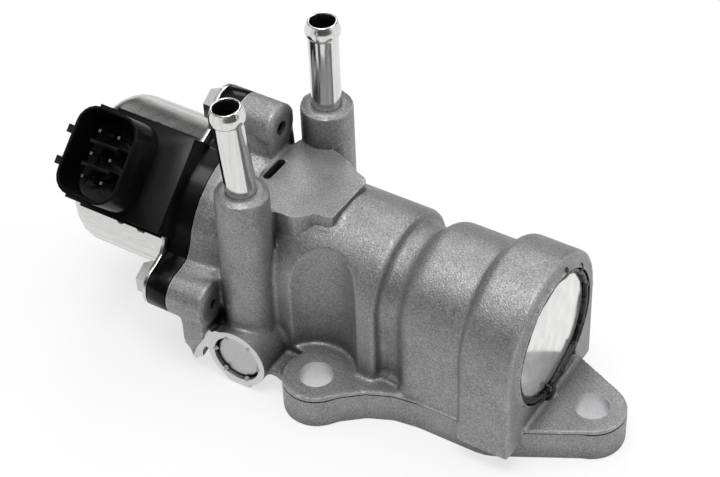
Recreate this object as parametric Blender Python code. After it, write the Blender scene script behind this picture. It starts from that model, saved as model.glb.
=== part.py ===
"""Exhaust gas recirculation valve of a car engine, driven by a stepper motor and cooled by water.

The valve axis runs along X, the motor is on the -X side and the closed end of the gas chamber on
the +X side. Z = 0 is the machined mounting face, and X = 0 lies midway between the two bolt holes.
Lengths are in metres.
"""

import math

import bmesh
import bpy
from mathutils import Matrix, Vector

# Fits and the fineness of round shapes.
FIT = 0.0003
ARC_STEP = math.radians(18)

# Valve axis, and the two machined faces across it.
AXIS_Z = 0.0300
MOTOR_FACE_X = -0.0725
END_FACE_X = 0.0218

# Outer form of the casting along the valve axis.
BARREL_R = 0.0189
BARREL_SHOULDER = 0.0018
BLOCK_R = 0.0192
BLOCK_ROUND = 0.0018
NECK_R = BLOCK_R - 0.0024
NECK_START_X = -0.0184
NECK_LENGTH = 0.0063
COLLAR_R = 0.0224
COLLAR_LENGTH = 0.0156
COLLAR_ROUND = 0.0021
COLLAR_FOOT_Z = 0.0054
COLLAR_EDGE = 0.0006
SKIRT_START_X = -0.0490
SKIRT_FOOT_Z = 0.0040

# Mounting flange with its two bolt ears. A thin lip runs round its top edge.
FLANGE_T = 0.0100
FLANGE_LIP = 0.0004
FLANGE_LIP_T = 0.0008
FLANGE_BULGE_R = 0.0110
FLANGE_HOLLOW_R = 0.0250
EAR_R = 0.0090
BOLT_HOLE_R = 0.0045
BOLT_A = Vector((-0.0330, -0.0244))
BOLT_B = Vector((0.0330, 0.0010))
SCOOP_R = 0.0113
SCOOP_SHIFT_X = -0.0008

# Motor joint: three screw lugs on one pitch circle.
MOTOR_DISC_R = 0.0216
LUG_PITCH_R = MOTOR_DISC_R + 0.0064
LUG_R = 0.0065
LUG_FILLET = 0.0050
LUG_T = 0.0107
LUG_ANGLES = tuple(math.radians(angle) for angle in (73.5, 193.5, 313.5))
SCREW_R = 0.0025
SCREW_HEAD_R = 0.0045
SCREW_HEAD_H = 0.0040
SCREW_COLLAR_T = 0.0010
LIMITER_R = 0.0038

# Pad on top, with the slot that vents the spring chamber.
PAD_Z = BARREL_R + AXIS_Z + 0.0011
PAD_DEPTH = 0.0160
SLOT_X = -0.0594
SLOT_W = 0.0024
SLOT_L = 0.0086

# Coolant side: two upright bosses with nipples, and the plugged boss below the front one.
BOSS_X = -0.0555
BOSS_Y = 0.0196
BOSS_R = 0.0070
BOSS_EDGE = 0.0004
BOSS_TOP_Z = 0.0587
REAR_BOSS_RISE = 0.0006
REAR_BOSS_FOOT_Z = 0.0200
NIPPLE_R = 0.0040
NIPPLE_WALL = 0.0009
NIPPLE_SEAT = 0.0090
NIPPLE_REACH = 0.0265
BEAD_R = 0.0047
BEAD_DROP = 0.0042
FRONT_LEAN = (math.radians(-3.7), math.radians(2.2))
REAR_LEAN = (0.0, 0.0)
PLUG_BOSS_X = -0.0545
PLUG_BOSS_Z = 0.0091
PLUG_BOSS_R = 0.0087
PLUG_FACE_Y = -0.0295
PLUG_R = 0.0066
PLUG_DEPTH = 0.0050
PLUG_INSET = 0.0009
COOLANT_R = 0.0027
WEB_FOOT_Z = 0.0052

# Inner spaces of the casting, each kept clear of its outer form by a wall.
STEM_BORE_R = 0.0046
SPRING_CHAMBER_R = BARREL_R - 0.0064
SPRING_CHAMBER_END_X = -0.0500
PILOT_R = SPRING_CHAMBER_R + 0.0020
PILOT_DEPTH = 0.0040
JACKET_X = (-0.0455, -0.0345)
JACKET_R = (STEM_BORE_R + 0.0029, BARREL_R - 0.0069)
INLET_CHAMBER_R = BLOCK_R - 0.0032
SEAT_R = INLET_CHAMBER_R - 0.0017
SEAT_X = -0.0093
SEAT_T = 0.0053
OUTLET_CHAMBER_R = SEAT_R - 0.0033
OUTLET_CHAMBER_X = -0.0295
END_BORE_R = COLLAR_R - 0.0041
END_BORE_DEPTH = 0.0085
PORT_OUTLET = (-0.0275, -0.0125, OUTLET_CHAMBER_R - 0.0020)
PORT_INLET = (0.0025, 0.0130, INLET_CHAMBER_R - 0.0040)
PORT_CORNER = 0.0035

# Large cup plug in the end bore, and the sealant that fills its rounded edge.
END_PLUG_INSET = 0.0004
END_PLUG_EDGE = 0.0016
END_PLUG_SKIRT = 0.0060
END_PLUG_WALL = 0.0012
SEALANT_RISE = 0.0005

# Valve train.
STEM_R = 0.0025
SEAT_OPENING_R = OUTLET_CHAMBER_R - 0.0002
HEAD_R = SEAT_OPENING_R + 0.0016
HEAD_T = 0.0035
STEM_TOP_X = -0.0690
RETAINER_R = SPRING_CHAMBER_R - 0.0020
RETAINER_T = 0.0012
RETAINER_X = -0.0668
SPRING_R = SPRING_CHAMBER_R - 0.0043
SPRING_WIRE_R = 0.0009
SPRING_TURNS = 4.5

# Stepper motor. The can follows the motor joint, and all inside follows the can.
CAN_R = MOTOR_DISC_R - 0.00055
CAN_WALL = 0.0010
CAN_ROUND = 0.0050
CAN_END_X = -0.1131
PLATE_T = 0.0010
PLATE_R = MOTOR_DISC_R + 0.0024
HOUSING_T = 0.0058
COIL_R = CAN_R - CAN_WALL - 0.00105
COIL_BORE_R = COIL_R - 0.0072
COIL_L = 0.0122
COIL_CHEEK = 0.0010
ROTOR_R = COIL_BORE_R - 0.0014
ROTOR_L = 0.0240
HUB_R = ROTOR_R - 0.0042
JOURNAL_R = 0.0045
JOURNAL_L = 0.0034
LEAD_SCREW_R = 0.0030
BEARING_R = 0.0080
BEARING_W = 0.0045
O_RING_T = 0.0020

# Connector block, and the shroud with its pins. N is the height over the valve axis.
PLUG_ANGLE = math.radians(132.5)
BLOCK_HALF_W = 0.0130
BLOCK_FOOT_N = CAN_R - 0.00805
BLOCK_TOP_N = CAN_R + 0.00545
BLOCK_END_X = -0.1075
RAIL_OUT = 0.0009
RAIL_T = 0.0016
SHROUD_X = -0.0959
SHROUD_L = 0.0188
SHROUD_W = 2 * BLOCK_HALF_W - 0.0020
SHROUD_CORNER = 0.0055
SHROUD_WALL = 0.0008
SHROUD_TOP_N = BLOCK_TOP_N + 0.0115
LATCH_W = 0.0022
LATCH_OUT = 0.0026
LATCH_H = 0.0030
LATCH_DROP = 0.0015
RIB_L = 0.0087
RIB_W = 0.0010
RIB_DROP = 0.0025
PIN_X = SHROUD_X - 0.0006
PIN_ROW = 0.0062
PIN_COLUMN = 0.0060
PIN_HALF = 0.00055
PIN_DROP = 0.0030


def clear_scene():
    for old in list(bpy.data.objects):
        bpy.data.objects.remove(old, do_unlink=True)


def finish(name, colour, roughness, metallic):
    """A plain Principled material."""
    material = bpy.data.materials.get(name) or bpy.data.materials.new(name)
    material.use_nodes = True
    shader = material.node_tree.nodes["Principled BSDF"]
    shader.inputs["Base Color"].default_value = (*colour, 1.0)
    shader.inputs["Roughness"].default_value = roughness
    shader.inputs["Metallic"].default_value = metallic
    return material


def cast_aluminium():
    return finish("cast_aluminium", (0.42, 0.42, 0.42), 0.55, 0.7)


def bright_steel():
    return finish("bright_steel", (0.72, 0.72, 0.70), 0.2, 1.0)


def dull_steel():
    return finish("dull_steel", (0.45, 0.45, 0.45), 0.4, 1.0)


def black_plastic():
    return finish("black_plastic", (0.02, 0.02, 0.022), 0.4, 0.0)


def black_rubber():
    return finish("black_rubber", (0.012, 0.012, 0.012), 0.5, 0.0)


def brass():
    return finish("brass", (0.60, 0.45, 0.20), 0.35, 1.0)


def copper():
    return finish("copper", (0.65, 0.28, 0.12), 0.4, 1.0)


def magnet():
    return finish("magnet", (0.08, 0.08, 0.09), 0.6, 0.2)


def place(name, shape, material):
    """Turns a bmesh into a named object with its faces pointing out."""
    bmesh.ops.recalc_face_normals(shape, faces=shape.faces)
    mesh = bpy.data.meshes.new(name)
    shape.to_mesh(mesh)
    shape.free()
    mesh.materials.append(material)
    made = bpy.data.objects.new(name, mesh)
    bpy.context.scene.collection.objects.link(made)
    return made


def combine(body, tool, operation):
    """Joins or cuts with a second object, which is then removed."""
    step = body.modifiers.new("Shape", "BOOLEAN")
    step.operation = operation
    step.solver = "EXACT"
    step.object = tool
    graph = bpy.context.evaluated_depsgraph_get()
    result = bpy.data.meshes.new_from_object(body.evaluated_get(graph))
    body.modifiers.clear()
    body.data = result
    bpy.data.objects.remove(tool, do_unlink=True)
    return body


def join(body, tool):
    return combine(body, tool, "UNION")


def cut(body, tool):
    return combine(body, tool, "DIFFERENCE")


def smooth(made):
    made.data.shade_smooth()
    made.data.set_sharp_from_angle(angle=math.radians(35))
    return made


def on_axis(made):
    """Puts a moving piece's origin on the valve axis, which it turns round or slides along."""
    origin = Vector((0.0, 0.0, AXIS_Z))
    made.data.transform(Matrix.Translation(-origin))
    made.location = origin
    return made


def steps_for(angle):
    return max(2, math.ceil(abs(angle) / ARC_STEP - 0.01))


def arc(centre, radius, start, end, count=None):
    """Points along an arc, from one angle to another."""
    count = count or steps_for(end - start)
    turns = (start + (end - start) * i / count for i in range(count + 1))
    return [Vector((centre[0] + radius * math.cos(t), centre[1] + radius * math.sin(t))) for t in turns]


def belt(circles, counts=(None,)):
    """A closed outline that runs counter-clockwise round circles (x, y, radius).

    A negative radius is a hollow corner, whose centre lies outside the outline. The counts of
    steps per arc, repeated round the outline, keep the rings of a loft alike.
    """
    count = len(circles)
    normals = []
    for i, (x, y, radius) in enumerate(circles):
        next_x, next_y, next_radius = circles[(i + 1) % count]
        span = Vector((next_x - x, next_y - y))
        lean = math.acos(max(-1.0, min(1.0, (radius - next_radius) / span.length)))
        normals.append(math.atan2(span.y, span.x) - lean)
    outline = []
    for i, (x, y, radius) in enumerate(circles):
        start, end = normals[i - 1], normals[i]
        turn = (end - start) % math.tau
        if radius < 0:
            turn = turn - math.tau if turn > 1e-9 else 0.0
        outline += arc((x, y), radius, start, start + turn, counts[i % len(counts)])
    return outline if counts[0] else tidy_outline(outline)


def tidy_outline(outline):
    """Leaves out points that lie on the one before."""
    return [p for i, p in enumerate(outline) if (p - outline[i - 1]).length > 1e-5]


def loft(name, rings, material):
    """Joins rings of points by quads and closes both ends."""
    shape = bmesh.new()
    loops = [[shape.verts.new(point) for point in ring] for ring in rings]
    for first, second in zip(loops, loops[1:]):
        for j in range(len(first)):
            k = (j + 1) % len(first)
            shape.faces.new((first[j], first[k], second[k], second[j]))
    shape.faces.new(loops[0])
    shape.faces.new(loops[-1])
    bmesh.ops.remove_doubles(shape, verts=shape.verts, dist=1e-7)
    return place(name, shape, material)


def prism(name, outline, low, high, material, axis="Z"):
    """An outline extruded along one axis: (x, y) for Z, (y, z) for X and (x, z) for Y."""
    makers = {
        "Z": lambda p, level: (p[0], p[1], level),
        "X": lambda p, level: (level, p[0], p[1]),
        "Y": lambda p, level: (p[0], level, p[1]),
    }
    maker = makers[axis]
    return loft(name, [[maker(p, level) for p in outline] for level in (low, high)], material)


def turned(name, profile, material, axis="X", centre=(0.0, 0.0, AXIS_Z), steps=40):
    """Turns a closed profile of (along, radius) points round an axis through the centre."""
    frames = {"X": (2, 0, 1), "Y": (1, 2, 0), "Z": (0, 1, 2)}
    order = frames[axis]
    shape = bmesh.new()
    columns = []
    for along, radius in profile:
        column = []
        for i in range(steps if radius > 1e-7 else 1):
            angle = math.tau * i / steps
            local = (radius * math.cos(angle), radius * math.sin(angle), along)
            column.append(shape.verts.new([local[order[k]] + centre[k] for k in range(3)]))
        columns.append(column)
    for i, first in enumerate(columns):
        second = columns[(i + 1) % len(columns)]
        if len(first) == 1 and len(second) == 1:
            continue
        for j in range(steps):
            k = (j + 1) % steps
            corners = [first[j % len(first)], first[k % len(first)]]
            corners += [second[k % len(second)], second[j % len(second)]]
            unique = [v for n, v in enumerate(corners) if v not in corners[:n]]
            shape.faces.new(unique)
    return place(name, shape, material)


def rod(name, radius, low, high, material, axis="X", centre=(0.0, 0.0, AXIS_Z), steps=32):
    """A plain round bar between two levels of its axis, measured in world coordinates."""
    at = list(centre)
    at["XYZ".index(axis)] = 0.0
    profile = ((low, 0.0), (low, radius), (high, radius), (high, 0.0))
    return turned(name, profile, material, axis, at, steps)


def bar_between(name, start, end, radius, material, steps=14):
    """A round bar from one point to another."""
    run = Vector(end) - Vector(start)
    profile = ((0.0, 0.0), (0.0, radius), (run.length, radius), (run.length, 0.0))
    made = turned(name, profile, material, "Z", (0.0, 0.0, 0.0), steps)
    turn = Vector((0.0, 0.0, 1.0)).rotation_difference(run)
    made.data.transform(Matrix.Translation(start) @ turn.to_matrix().to_4x4())
    return made


def quarter(start, end, steps=5):
    """Stations along a quarter of an ellipse that leaves the first point along the axis."""
    (x0, r0), (x1, r1) = start, end
    turns = (math.pi / 2 * i / steps for i in range(steps + 1))
    return [(x0 + (x1 - x0) * math.sin(t), r1 + (r0 - r1) * math.cos(t)) for t in turns]


def around_axis(radius, angle):
    """A point (y, z) at an angle round the valve axis, from +Y towards +Z."""
    return Vector((radius * math.cos(angle), AXIS_Z + radius * math.sin(angle)))


def lobed_outline(disc_r, lug_r=LUG_R):
    """A disc with three screw lugs and hollow fillets between, as (y, z) points."""
    reach = disc_r + LUG_FILLET
    lean = (reach**2 + LUG_PITCH_R**2 - (lug_r + LUG_FILLET) ** 2) / (2 * LUG_PITCH_R * reach)
    spread = math.acos(lean)
    circles = []
    for angle in LUG_ANGLES:
        circles.append((*around_axis(reach, angle - spread), -LUG_FILLET))
        circles.append((*around_axis(LUG_PITCH_R, angle), lug_r))
        circles.append((*around_axis(reach, angle + spread), -LUG_FILLET))
        circles.append((0.0, AXIS_Z, disc_r))
    return belt(circles, (2, 9, 2, 6))


def section(x, radius, foot_z=None):
    """One ring round the casting: round, or an arch with upright sides down to its foot."""
    upper = arc((0.0, AXIS_Z), radius, 0.0, math.pi)
    if foot_z is None:
        lower = arc((0.0, AXIS_Z), radius, math.pi, math.tau)[1:-1]
    else:
        count = steps_for(math.pi) - 1
        half = count // 2
        drop = AXIS_Z - foot_z
        side = [Vector((-radius, AXIS_Z - drop * (i + 1) / half)) for i in range(half)]
        floor_count = count - 2 * half
        floor = [Vector((0.0, foot_z))] * floor_count
        lower = side + floor + [Vector((-p.x, p.y)) for p in reversed(side)]
    return [(x, p.x, p.y) for p in upper + lower]


def casting_spine():
    """The barrel, its shoulder, the neck, the square-sided block and the end collar, as one loft."""
    neck_end = NECK_START_X + NECK_LENGTH
    collar_start = END_FACE_X - COLLAR_LENGTH
    lug_back = MOTOR_FACE_X + LUG_T
    rings = [section(lug_back - 0.004, BARREL_R), section(SKIRT_START_X, BARREL_R)]
    rings.append(section(SKIRT_START_X + 0.0005, BARREL_R, SKIRT_FOOT_Z))
    shoulder = quarter((NECK_START_X - BARREL_SHOULDER, BARREL_R), (NECK_START_X, NECK_R))
    rings += [section(x, r, SKIRT_FOOT_Z) for x, r in shoulder]
    block = quarter((neck_end + BLOCK_ROUND, BLOCK_R), (neck_end, BLOCK_R - BLOCK_ROUND), 4)
    rings += [section(x, r, SKIRT_FOOT_Z) for x, r in reversed(block)]
    rings.append(section(collar_start, BLOCK_R, SKIRT_FOOT_Z))
    start = (collar_start + COLLAR_ROUND, COLLAR_R)
    collar = quarter(start, (collar_start + 0.0002, COLLAR_R - COLLAR_ROUND), 4)
    rings += [section(x, r, COLLAR_FOOT_Z) for x, r in reversed(collar)]
    rings.append(section(END_FACE_X - COLLAR_EDGE, COLLAR_R, COLLAR_FOOT_Z))
    rings.append(section(END_FACE_X, COLLAR_R - COLLAR_EDGE, COLLAR_FOOT_Z + COLLAR_EDGE))
    return loft("valve_body", rings, cast_aluminium())


def flange_outline(inset=0.0):
    """The two-bolt flange: round ears, a hollow front edge and a bulge that covers the ports."""
    front_y = -BLOCK_R - 0.0005
    rear_y = BLOCK_R + 0.0010
    bulge = FLANGE_BULGE_R
    hollow = FLANGE_HOLLOW_R
    circles = (
        (BOLT_A.x, BOLT_A.y, EAR_R),
        (-0.0055, front_y - hollow, -hollow),
        (0.0110, front_y + bulge, bulge),
        (BOLT_B.x, BOLT_B.y, EAR_R),
        (0.0090, rear_y - bulge, bulge),
        (-0.0170, rear_y - bulge, bulge),
    )
    return belt([(x, y, r - inset) for x, y, r in circles])


def flange_slabs():
    overlap = 0.001
    ledge = FLANGE_T - FLANGE_LIP_T
    foot = prism("flange_foot", flange_outline(FLANGE_LIP), 0.0, ledge + overlap / 2, cast_aluminium())
    top = prism("flange_top", flange_outline(), ledge, FLANGE_T, cast_aluminium())
    return foot, top


def motor_flange():
    """The motor side of the casting: a disc with three lugs that slopes back into the barrel."""
    back = MOTOR_FACE_X + LUG_T
    slope = (
        (MOTOR_FACE_X, MOTOR_DISC_R, LUG_R),
        (MOTOR_FACE_X + 0.0025, MOTOR_DISC_R, LUG_R),
        (MOTOR_FACE_X + 0.0060, MOTOR_DISC_R - 0.0009, LUG_R),
        (back - 0.0005, BARREL_R + 0.0004, LUG_R - 0.0005),
        (back, BARREL_R + 0.0003, LUG_R - 0.0016),
    )
    rings = [[(x, p.x, p.y) for p in lobed_outline(disc, lug)] for x, disc, lug in slope]
    return loft("motor_flange", rings, cast_aluminium())


def lug_tail():
    """The thin web that hangs from the front lug down to the level of the plugged boss."""
    lug = around_axis(LUG_PITCH_R, LUG_ANGLES[1])
    outline = (
        (lug.x - 0.0056, lug.y - 0.0015),
        (lug.x - 0.0054, PLUG_BOSS_Z + 0.0010),
        (lug.x - 0.0036, PLUG_BOSS_Z - 0.0052),
        (lug.x + 0.0012, PLUG_BOSS_Z - 0.0040),
        (lug.x + 0.0070, PLUG_BOSS_Z - 0.0030),
        (lug.x + 0.0110, lug.y + 0.0010),
    )
    back = MOTOR_FACE_X + 0.0070
    return prism("lug_tail", outline, back - 0.0032, back, cast_aluminium(), "X")


def top_pad():
    corners = (
        (-0.0570, -0.0130, 0.0020),
        (-0.0470, -0.0120, 0.0016),
        (-0.0412, -0.0130, -0.0030),
        (-0.0382, -0.0078, 0.0015),
        (-0.0382, 0.0070, 0.0015),
        (-0.0460, 0.0120, 0.0030),
        (-0.0560, 0.0160, 0.0030),
        (-0.0610, 0.0060, 0.0020),
    )
    return prism("top_pad", belt(corners), PAD_Z - PAD_DEPTH, PAD_Z, cast_aluminium())


def boss_top(y):
    """The rear boss stands a little higher than the front one."""
    return BOSS_TOP_Z + (REAR_BOSS_RISE if y > 0 else 0.0)


def coolant_bosses():
    parts = []
    feet = ((-BOSS_Y, PLUG_BOSS_Z), (BOSS_Y, REAR_BOSS_FOOT_Z))
    for y, foot in feet:
        top = boss_top(y)
        profile = ((foot, 0.0), (foot, BOSS_R - BOSS_EDGE), (top - BOSS_EDGE, BOSS_R))
        profile += ((top, BOSS_R - BOSS_EDGE), (top, 0.0))
        boss = turned("boss", profile, cast_aluminium(), "Z", (BOSS_X, y, 0.0), 24)
        parts.append(boss)
    deep = PLUG_FACE_Y + 0.0250
    centre = (PLUG_BOSS_X, 0.0, PLUG_BOSS_Z)
    parts.append(rod("plug_boss", PLUG_BOSS_R, PLUG_FACE_Y, deep, cast_aluminium(), "Y", centre, 24))
    return parts


def boss_web():
    """Low rib from the plugged boss to the front bolt ear."""
    left = PLUG_BOSS_X + 0.006
    right = BOLT_A.x - 0.006
    outline = ((left, -0.0265), (right, -0.0275), (right, -0.0135), (left, -0.0140))
    return prism("boss_web", outline, WEB_FOOT_Z, FLANGE_T - 0.0022, cast_aluminium())


def valve_bore():
    """All that is turned from the two ends of the valve axis, as one cutter."""
    beyond = 0.002
    mouth = END_FACE_X - END_BORE_DEPTH
    profile = (
        (MOTOR_FACE_X - beyond, 0.0),
        (MOTOR_FACE_X - beyond, PILOT_R),
        (MOTOR_FACE_X + PILOT_DEPTH, PILOT_R),
        (MOTOR_FACE_X + PILOT_DEPTH, SPRING_CHAMBER_R),
        (SPRING_CHAMBER_END_X, SPRING_CHAMBER_R),
        (SPRING_CHAMBER_END_X, STEM_BORE_R),
        (OUTLET_CHAMBER_X, STEM_BORE_R),
        (OUTLET_CHAMBER_X, OUTLET_CHAMBER_R),
        (SEAT_X, OUTLET_CHAMBER_R),
        (SEAT_X, SEAT_R),
        (SEAT_X + SEAT_T, SEAT_R),
        (SEAT_X + SEAT_T, INLET_CHAMBER_R),
        (mouth, INLET_CHAMBER_R),
        (mouth, END_BORE_R),
        (END_FACE_X + beyond, END_BORE_R),
        (END_FACE_X + beyond, 0.0),
    )
    return turned("valve_bore", profile, cast_aluminium(), steps=28)


def port(span, top_z):
    """A gas port with round corners, from the mounting face up into its chamber."""
    x0, x1, half_y = span
    r = PORT_CORNER
    corners = ((x0 + r, r - half_y), (x1 - r, r - half_y), (x1 - r, half_y - r), (x0 + r, half_y - r))
    outline = belt([(x, y, r) for x, y in corners])
    return prism("port", outline, -0.002, top_z, cast_aluminium())


def coolant_ways():
    """Water runs down the front boss, round the stem guide and up the rear boss."""
    ring = tuple((x, r) for x, r in zip((*JACKET_X, *JACKET_X[::-1]), (JACKET_R[0],) * 2 + (JACKET_R[1],) * 2))
    ways = [turned("jacket", ring, cast_aluminium(), steps=24)]
    low_y = -0.0090
    middle_x = sum(JACKET_X) / 2
    for y, foot in ((-BOSS_Y, PLUG_BOSS_Z), (BOSS_Y, AXIS_Z - COOLANT_R / 2)):
        start = (BOSS_X, y, foot)
        end = (BOSS_X, y, boss_top(y) - NIPPLE_SEAT + 0.001)
        ways.append(bar_between("down_way", start, end, COOLANT_R, cast_aluminium()))
    ways.append(plug_bore(low_y + COOLANT_R))
    corner = (middle_x, low_y, PLUG_BOSS_Z)
    back = (PLUG_BOSS_X, low_y, PLUG_BOSS_Z)
    ways.append(bar_between("long_way", back, corner, COOLANT_R, cast_aluminium()))
    up = (middle_x, low_y, AXIS_Z - JACKET_R[0])
    below = (middle_x, low_y, PLUG_BOSS_Z - COOLANT_R / 2)
    ways.append(bar_between("up_way", below, up, COOLANT_R, cast_aluminium()))
    rear = (BOSS_X, BOSS_Y, AXIS_Z)
    inner = (middle_x, JACKET_R[0] + 0.002, AXIS_Z)
    ways.append(bar_between("rear_way", rear, inner, COOLANT_R, cast_aluminium()))
    return ways


def plug_bore(end_y):
    """The cored hole of the plugged boss, with a wider seat for its plug."""
    core = PLUG_R - 0.0016
    seat = PLUG_FACE_Y + PLUG_DEPTH
    profile = ((PLUG_FACE_Y - 0.002, 0.0), (PLUG_FACE_Y - 0.002, PLUG_R + FIT), (seat, PLUG_R + FIT))
    profile += ((seat, core), (end_y, core), (end_y, 0.0))
    return turned("plug_bore", profile, cast_aluminium(), "Y", (PLUG_BOSS_X, 0.0, PLUG_BOSS_Z), 20)


def machined_holes():
    holes = []
    for bolt in (BOLT_A, BOLT_B):
        centre = (bolt.x, bolt.y, 0.0)
        holes.append(rod("bolt_hole", BOLT_HOLE_R, -0.002, FLANGE_T + 0.002, cast_aluminium(), "Z", centre, 20))
    for angle in LUG_ANGLES:
        y, z = around_axis(LUG_PITCH_R, angle)
        low, high = MOTOR_FACE_X - 0.002, MOTOR_FACE_X + LUG_T + 0.002
        holes.append(rod("lug_hole", SCREW_R + FIT, low, high, cast_aluminium(), "X", (0, y, z), 16))
    for y, lean in ((-BOSS_Y, FRONT_LEAN), (BOSS_Y, REAR_LEAN)):
        holes.append(nipple_blank("nipple_hole", y, lean, NIPPLE_R + FIT))
    half = SLOT_L / 2 - SLOT_W / 2
    slot = belt([(SLOT_X, -half, SLOT_W / 2), (SLOT_X, half, SLOT_W / 2)])
    holes.append(prism("slot", slot, AXIS_Z + SPRING_CHAMBER_R - 0.003, PAD_Z + 0.002, cast_aluminium()))
    return holes


def nipple_blank(name, y, lean, radius):
    """The straight blank that a nipple's hole is bored with."""
    turn = nipple_turn(lean)
    seat = Vector((BOSS_X, y, boss_top(y)))
    run = turn @ Vector((0.0, 0.0, 1.0))
    return bar_between(name, seat - run * NIPPLE_SEAT, seat + run * 0.003, radius, cast_aluminium(), 20)


def nipple_turn(lean):
    """The front nipple leans a little away from the bolt flange, the rear one stands upright."""
    towards_motor, towards_front = lean
    return Matrix.Rotation(towards_motor, 3, "Y") @ Matrix.Rotation(towards_front, 3, "X")


def valve_body():
    body = casting_spine()
    scoop_at = (BOLT_A.x + SCOOP_SHIFT_X, BOLT_A.y, 0.0)
    body = cut(body, rod("scoop", SCOOP_R, 0.001, PAD_Z + 0.02, cast_aluminium(), "Z", scoop_at, 48))
    for piece in (*flange_slabs(), motor_flange(), lug_tail(), top_pad(), *coolant_bosses(), boss_web()):
        body = join(body, piece)
    body = cut(body, valve_bore())
    body = cut(body, port(PORT_OUTLET, AXIS_Z))
    body = cut(body, port(PORT_INLET, AXIS_Z - 0.002))
    for tool in (*coolant_ways(), *machined_holes()):
        body = cut(body, tool)
    return smooth(body)


def nipple(name, y, lean):
    """A plated tube with a hose bead near its mouth, pressed into its boss."""
    bore = NIPPLE_R - NIPPLE_WALL
    top = NIPPLE_REACH
    bead = top - BEAD_DROP
    profile = [(-NIPPLE_SEAT + FIT, bore), (-NIPPLE_SEAT + FIT, NIPPLE_R), (bead, NIPPLE_R)]
    profile += [(bead + 0.0006, BEAD_R - 0.0002), (bead + 0.0013, BEAD_R)]
    profile += [(top - 0.0004, NIPPLE_R), (top, NIPPLE_R - 0.0003), (top, bore)]
    made = turned(name, profile, bright_steel(), "Z", (0.0, 0.0, 0.0), 20)
    seat = Vector((BOSS_X, y, boss_top(y)))
    made.data.transform(Matrix.Translation(seat) @ nipple_turn(lean).to_4x4())
    return smooth(made)


def cup_plug(name, axis, centre, radius, face, depth, wall, edge, outward):
    """A pressed cup with a flat floor, a bevelled edge and a skirt that points inwards."""
    along = [0.0, edge, depth, depth, wall + edge, wall]
    across = [radius - edge, radius, radius, radius - wall, radius - wall, radius - wall - edge]
    profile = [(face, 0.0)] + [(face - outward * a, r) for a, r in zip(along, across)]
    profile.append((face - outward * wall, 0.0))
    return smooth(turned(name, profile, bright_steel(), axis, centre, 26))


def end_plug_face():
    return END_FACE_X - END_PLUG_INSET


def end_plug():
    centre = (0.0, 0.0, AXIS_Z)
    radius = END_BORE_R - FIT
    face = end_plug_face()
    return cup_plug("end_plug", "X", centre, radius, face, END_PLUG_SKIRT, END_PLUG_WALL, END_PLUG_EDGE, 1)


def end_sealant():
    """Bead of black sealant that fills the bevelled edge of the plug and rises over its face."""
    outer = END_BORE_R - FIT
    inner = outer - END_PLUG_EDGE
    clear = end_plug_face() + FIT * math.sqrt(2)
    crest = END_FACE_X + SEALANT_RISE
    profile = ((clear, inner), (clear - END_PLUG_EDGE, outer), (crest - 0.0003, outer))
    profile += ((crest, outer - 0.0006), (crest - 0.0001, inner + 0.0003))
    return smooth(turned("end_sealant", profile, black_rubber(), steps=24))


def coolant_core_plug():
    face = PLUG_FACE_Y + PLUG_INSET
    centre = (PLUG_BOSS_X, 0.0, PLUG_BOSS_Z)
    depth = PLUG_DEPTH - PLUG_INSET - FIT
    return cup_plug("coolant_core_plug", "Y", centre, PLUG_R, face, depth, 0.0010, 0.0006, -1)


def valve_seat():
    low = SEAT_X + FIT
    high = SEAT_X + SEAT_T
    outer = SEAT_R - FIT
    cone = HEAD_R - SEAT_OPENING_R
    profile = ((low, SEAT_OPENING_R), (low, outer), (high, outer), (high, HEAD_R), (high - cone, SEAT_OPENING_R))
    return smooth(turned("valve_seat", profile, dull_steel(), steps=24))


def poppet_valve():
    """Stem and head in one piece. The cone of the head closes on the seat from the plug side."""
    seat_top = SEAT_X + SEAT_T
    cone = HEAD_R - SEAT_OPENING_R
    back = seat_top - cone + FIT
    profile = (
        (STEM_TOP_X, 0.0),
        (STEM_TOP_X, STEM_R - 0.0004),
        (STEM_TOP_X + 0.0004, STEM_R),
        (RETAINER_X - FIT, STEM_R),
        (back - 0.0040, STEM_R),
        (back - 0.0010, STEM_R + 0.0014),
        (back, SEAT_OPENING_R - 2 * FIT),
        (seat_top + FIT, HEAD_R - 2 * FIT),
        (seat_top + HEAD_T - cone, HEAD_R - 2 * FIT),
        (seat_top + HEAD_T - cone, 0.0),
    )
    return on_axis(smooth(turned("poppet_valve", profile, dull_steel(), steps=20)))


def stem_bush():
    low = SPRING_CHAMBER_END_X - 0.0012
    high = OUTLET_CHAMBER_X - 0.0040
    bore = STEM_R + FIT
    outer = STEM_BORE_R - FIT
    rim = outer + 0.0020
    profile = ((low, bore), (low, rim), (SPRING_CHAMBER_END_X - FIT, rim), (SPRING_CHAMBER_END_X - FIT, outer))
    profile += ((high, outer), (high, bore))
    return smooth(turned("stem_bush", profile, brass(), steps=18))


def stem_shield():
    """Thin cup round the stem that keeps soot out of the guide."""
    low = OUTLET_CHAMBER_X - 0.0040 + FIT
    high = OUTLET_CHAMBER_X + 0.0035
    bore = STEM_R + FIT
    outer = STEM_BORE_R - FIT
    profile = ((low, bore), (low, outer), (high, outer), (high, bore + 0.0008))
    return smooth(turned("stem_shield", profile, dull_steel(), steps=16))


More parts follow.
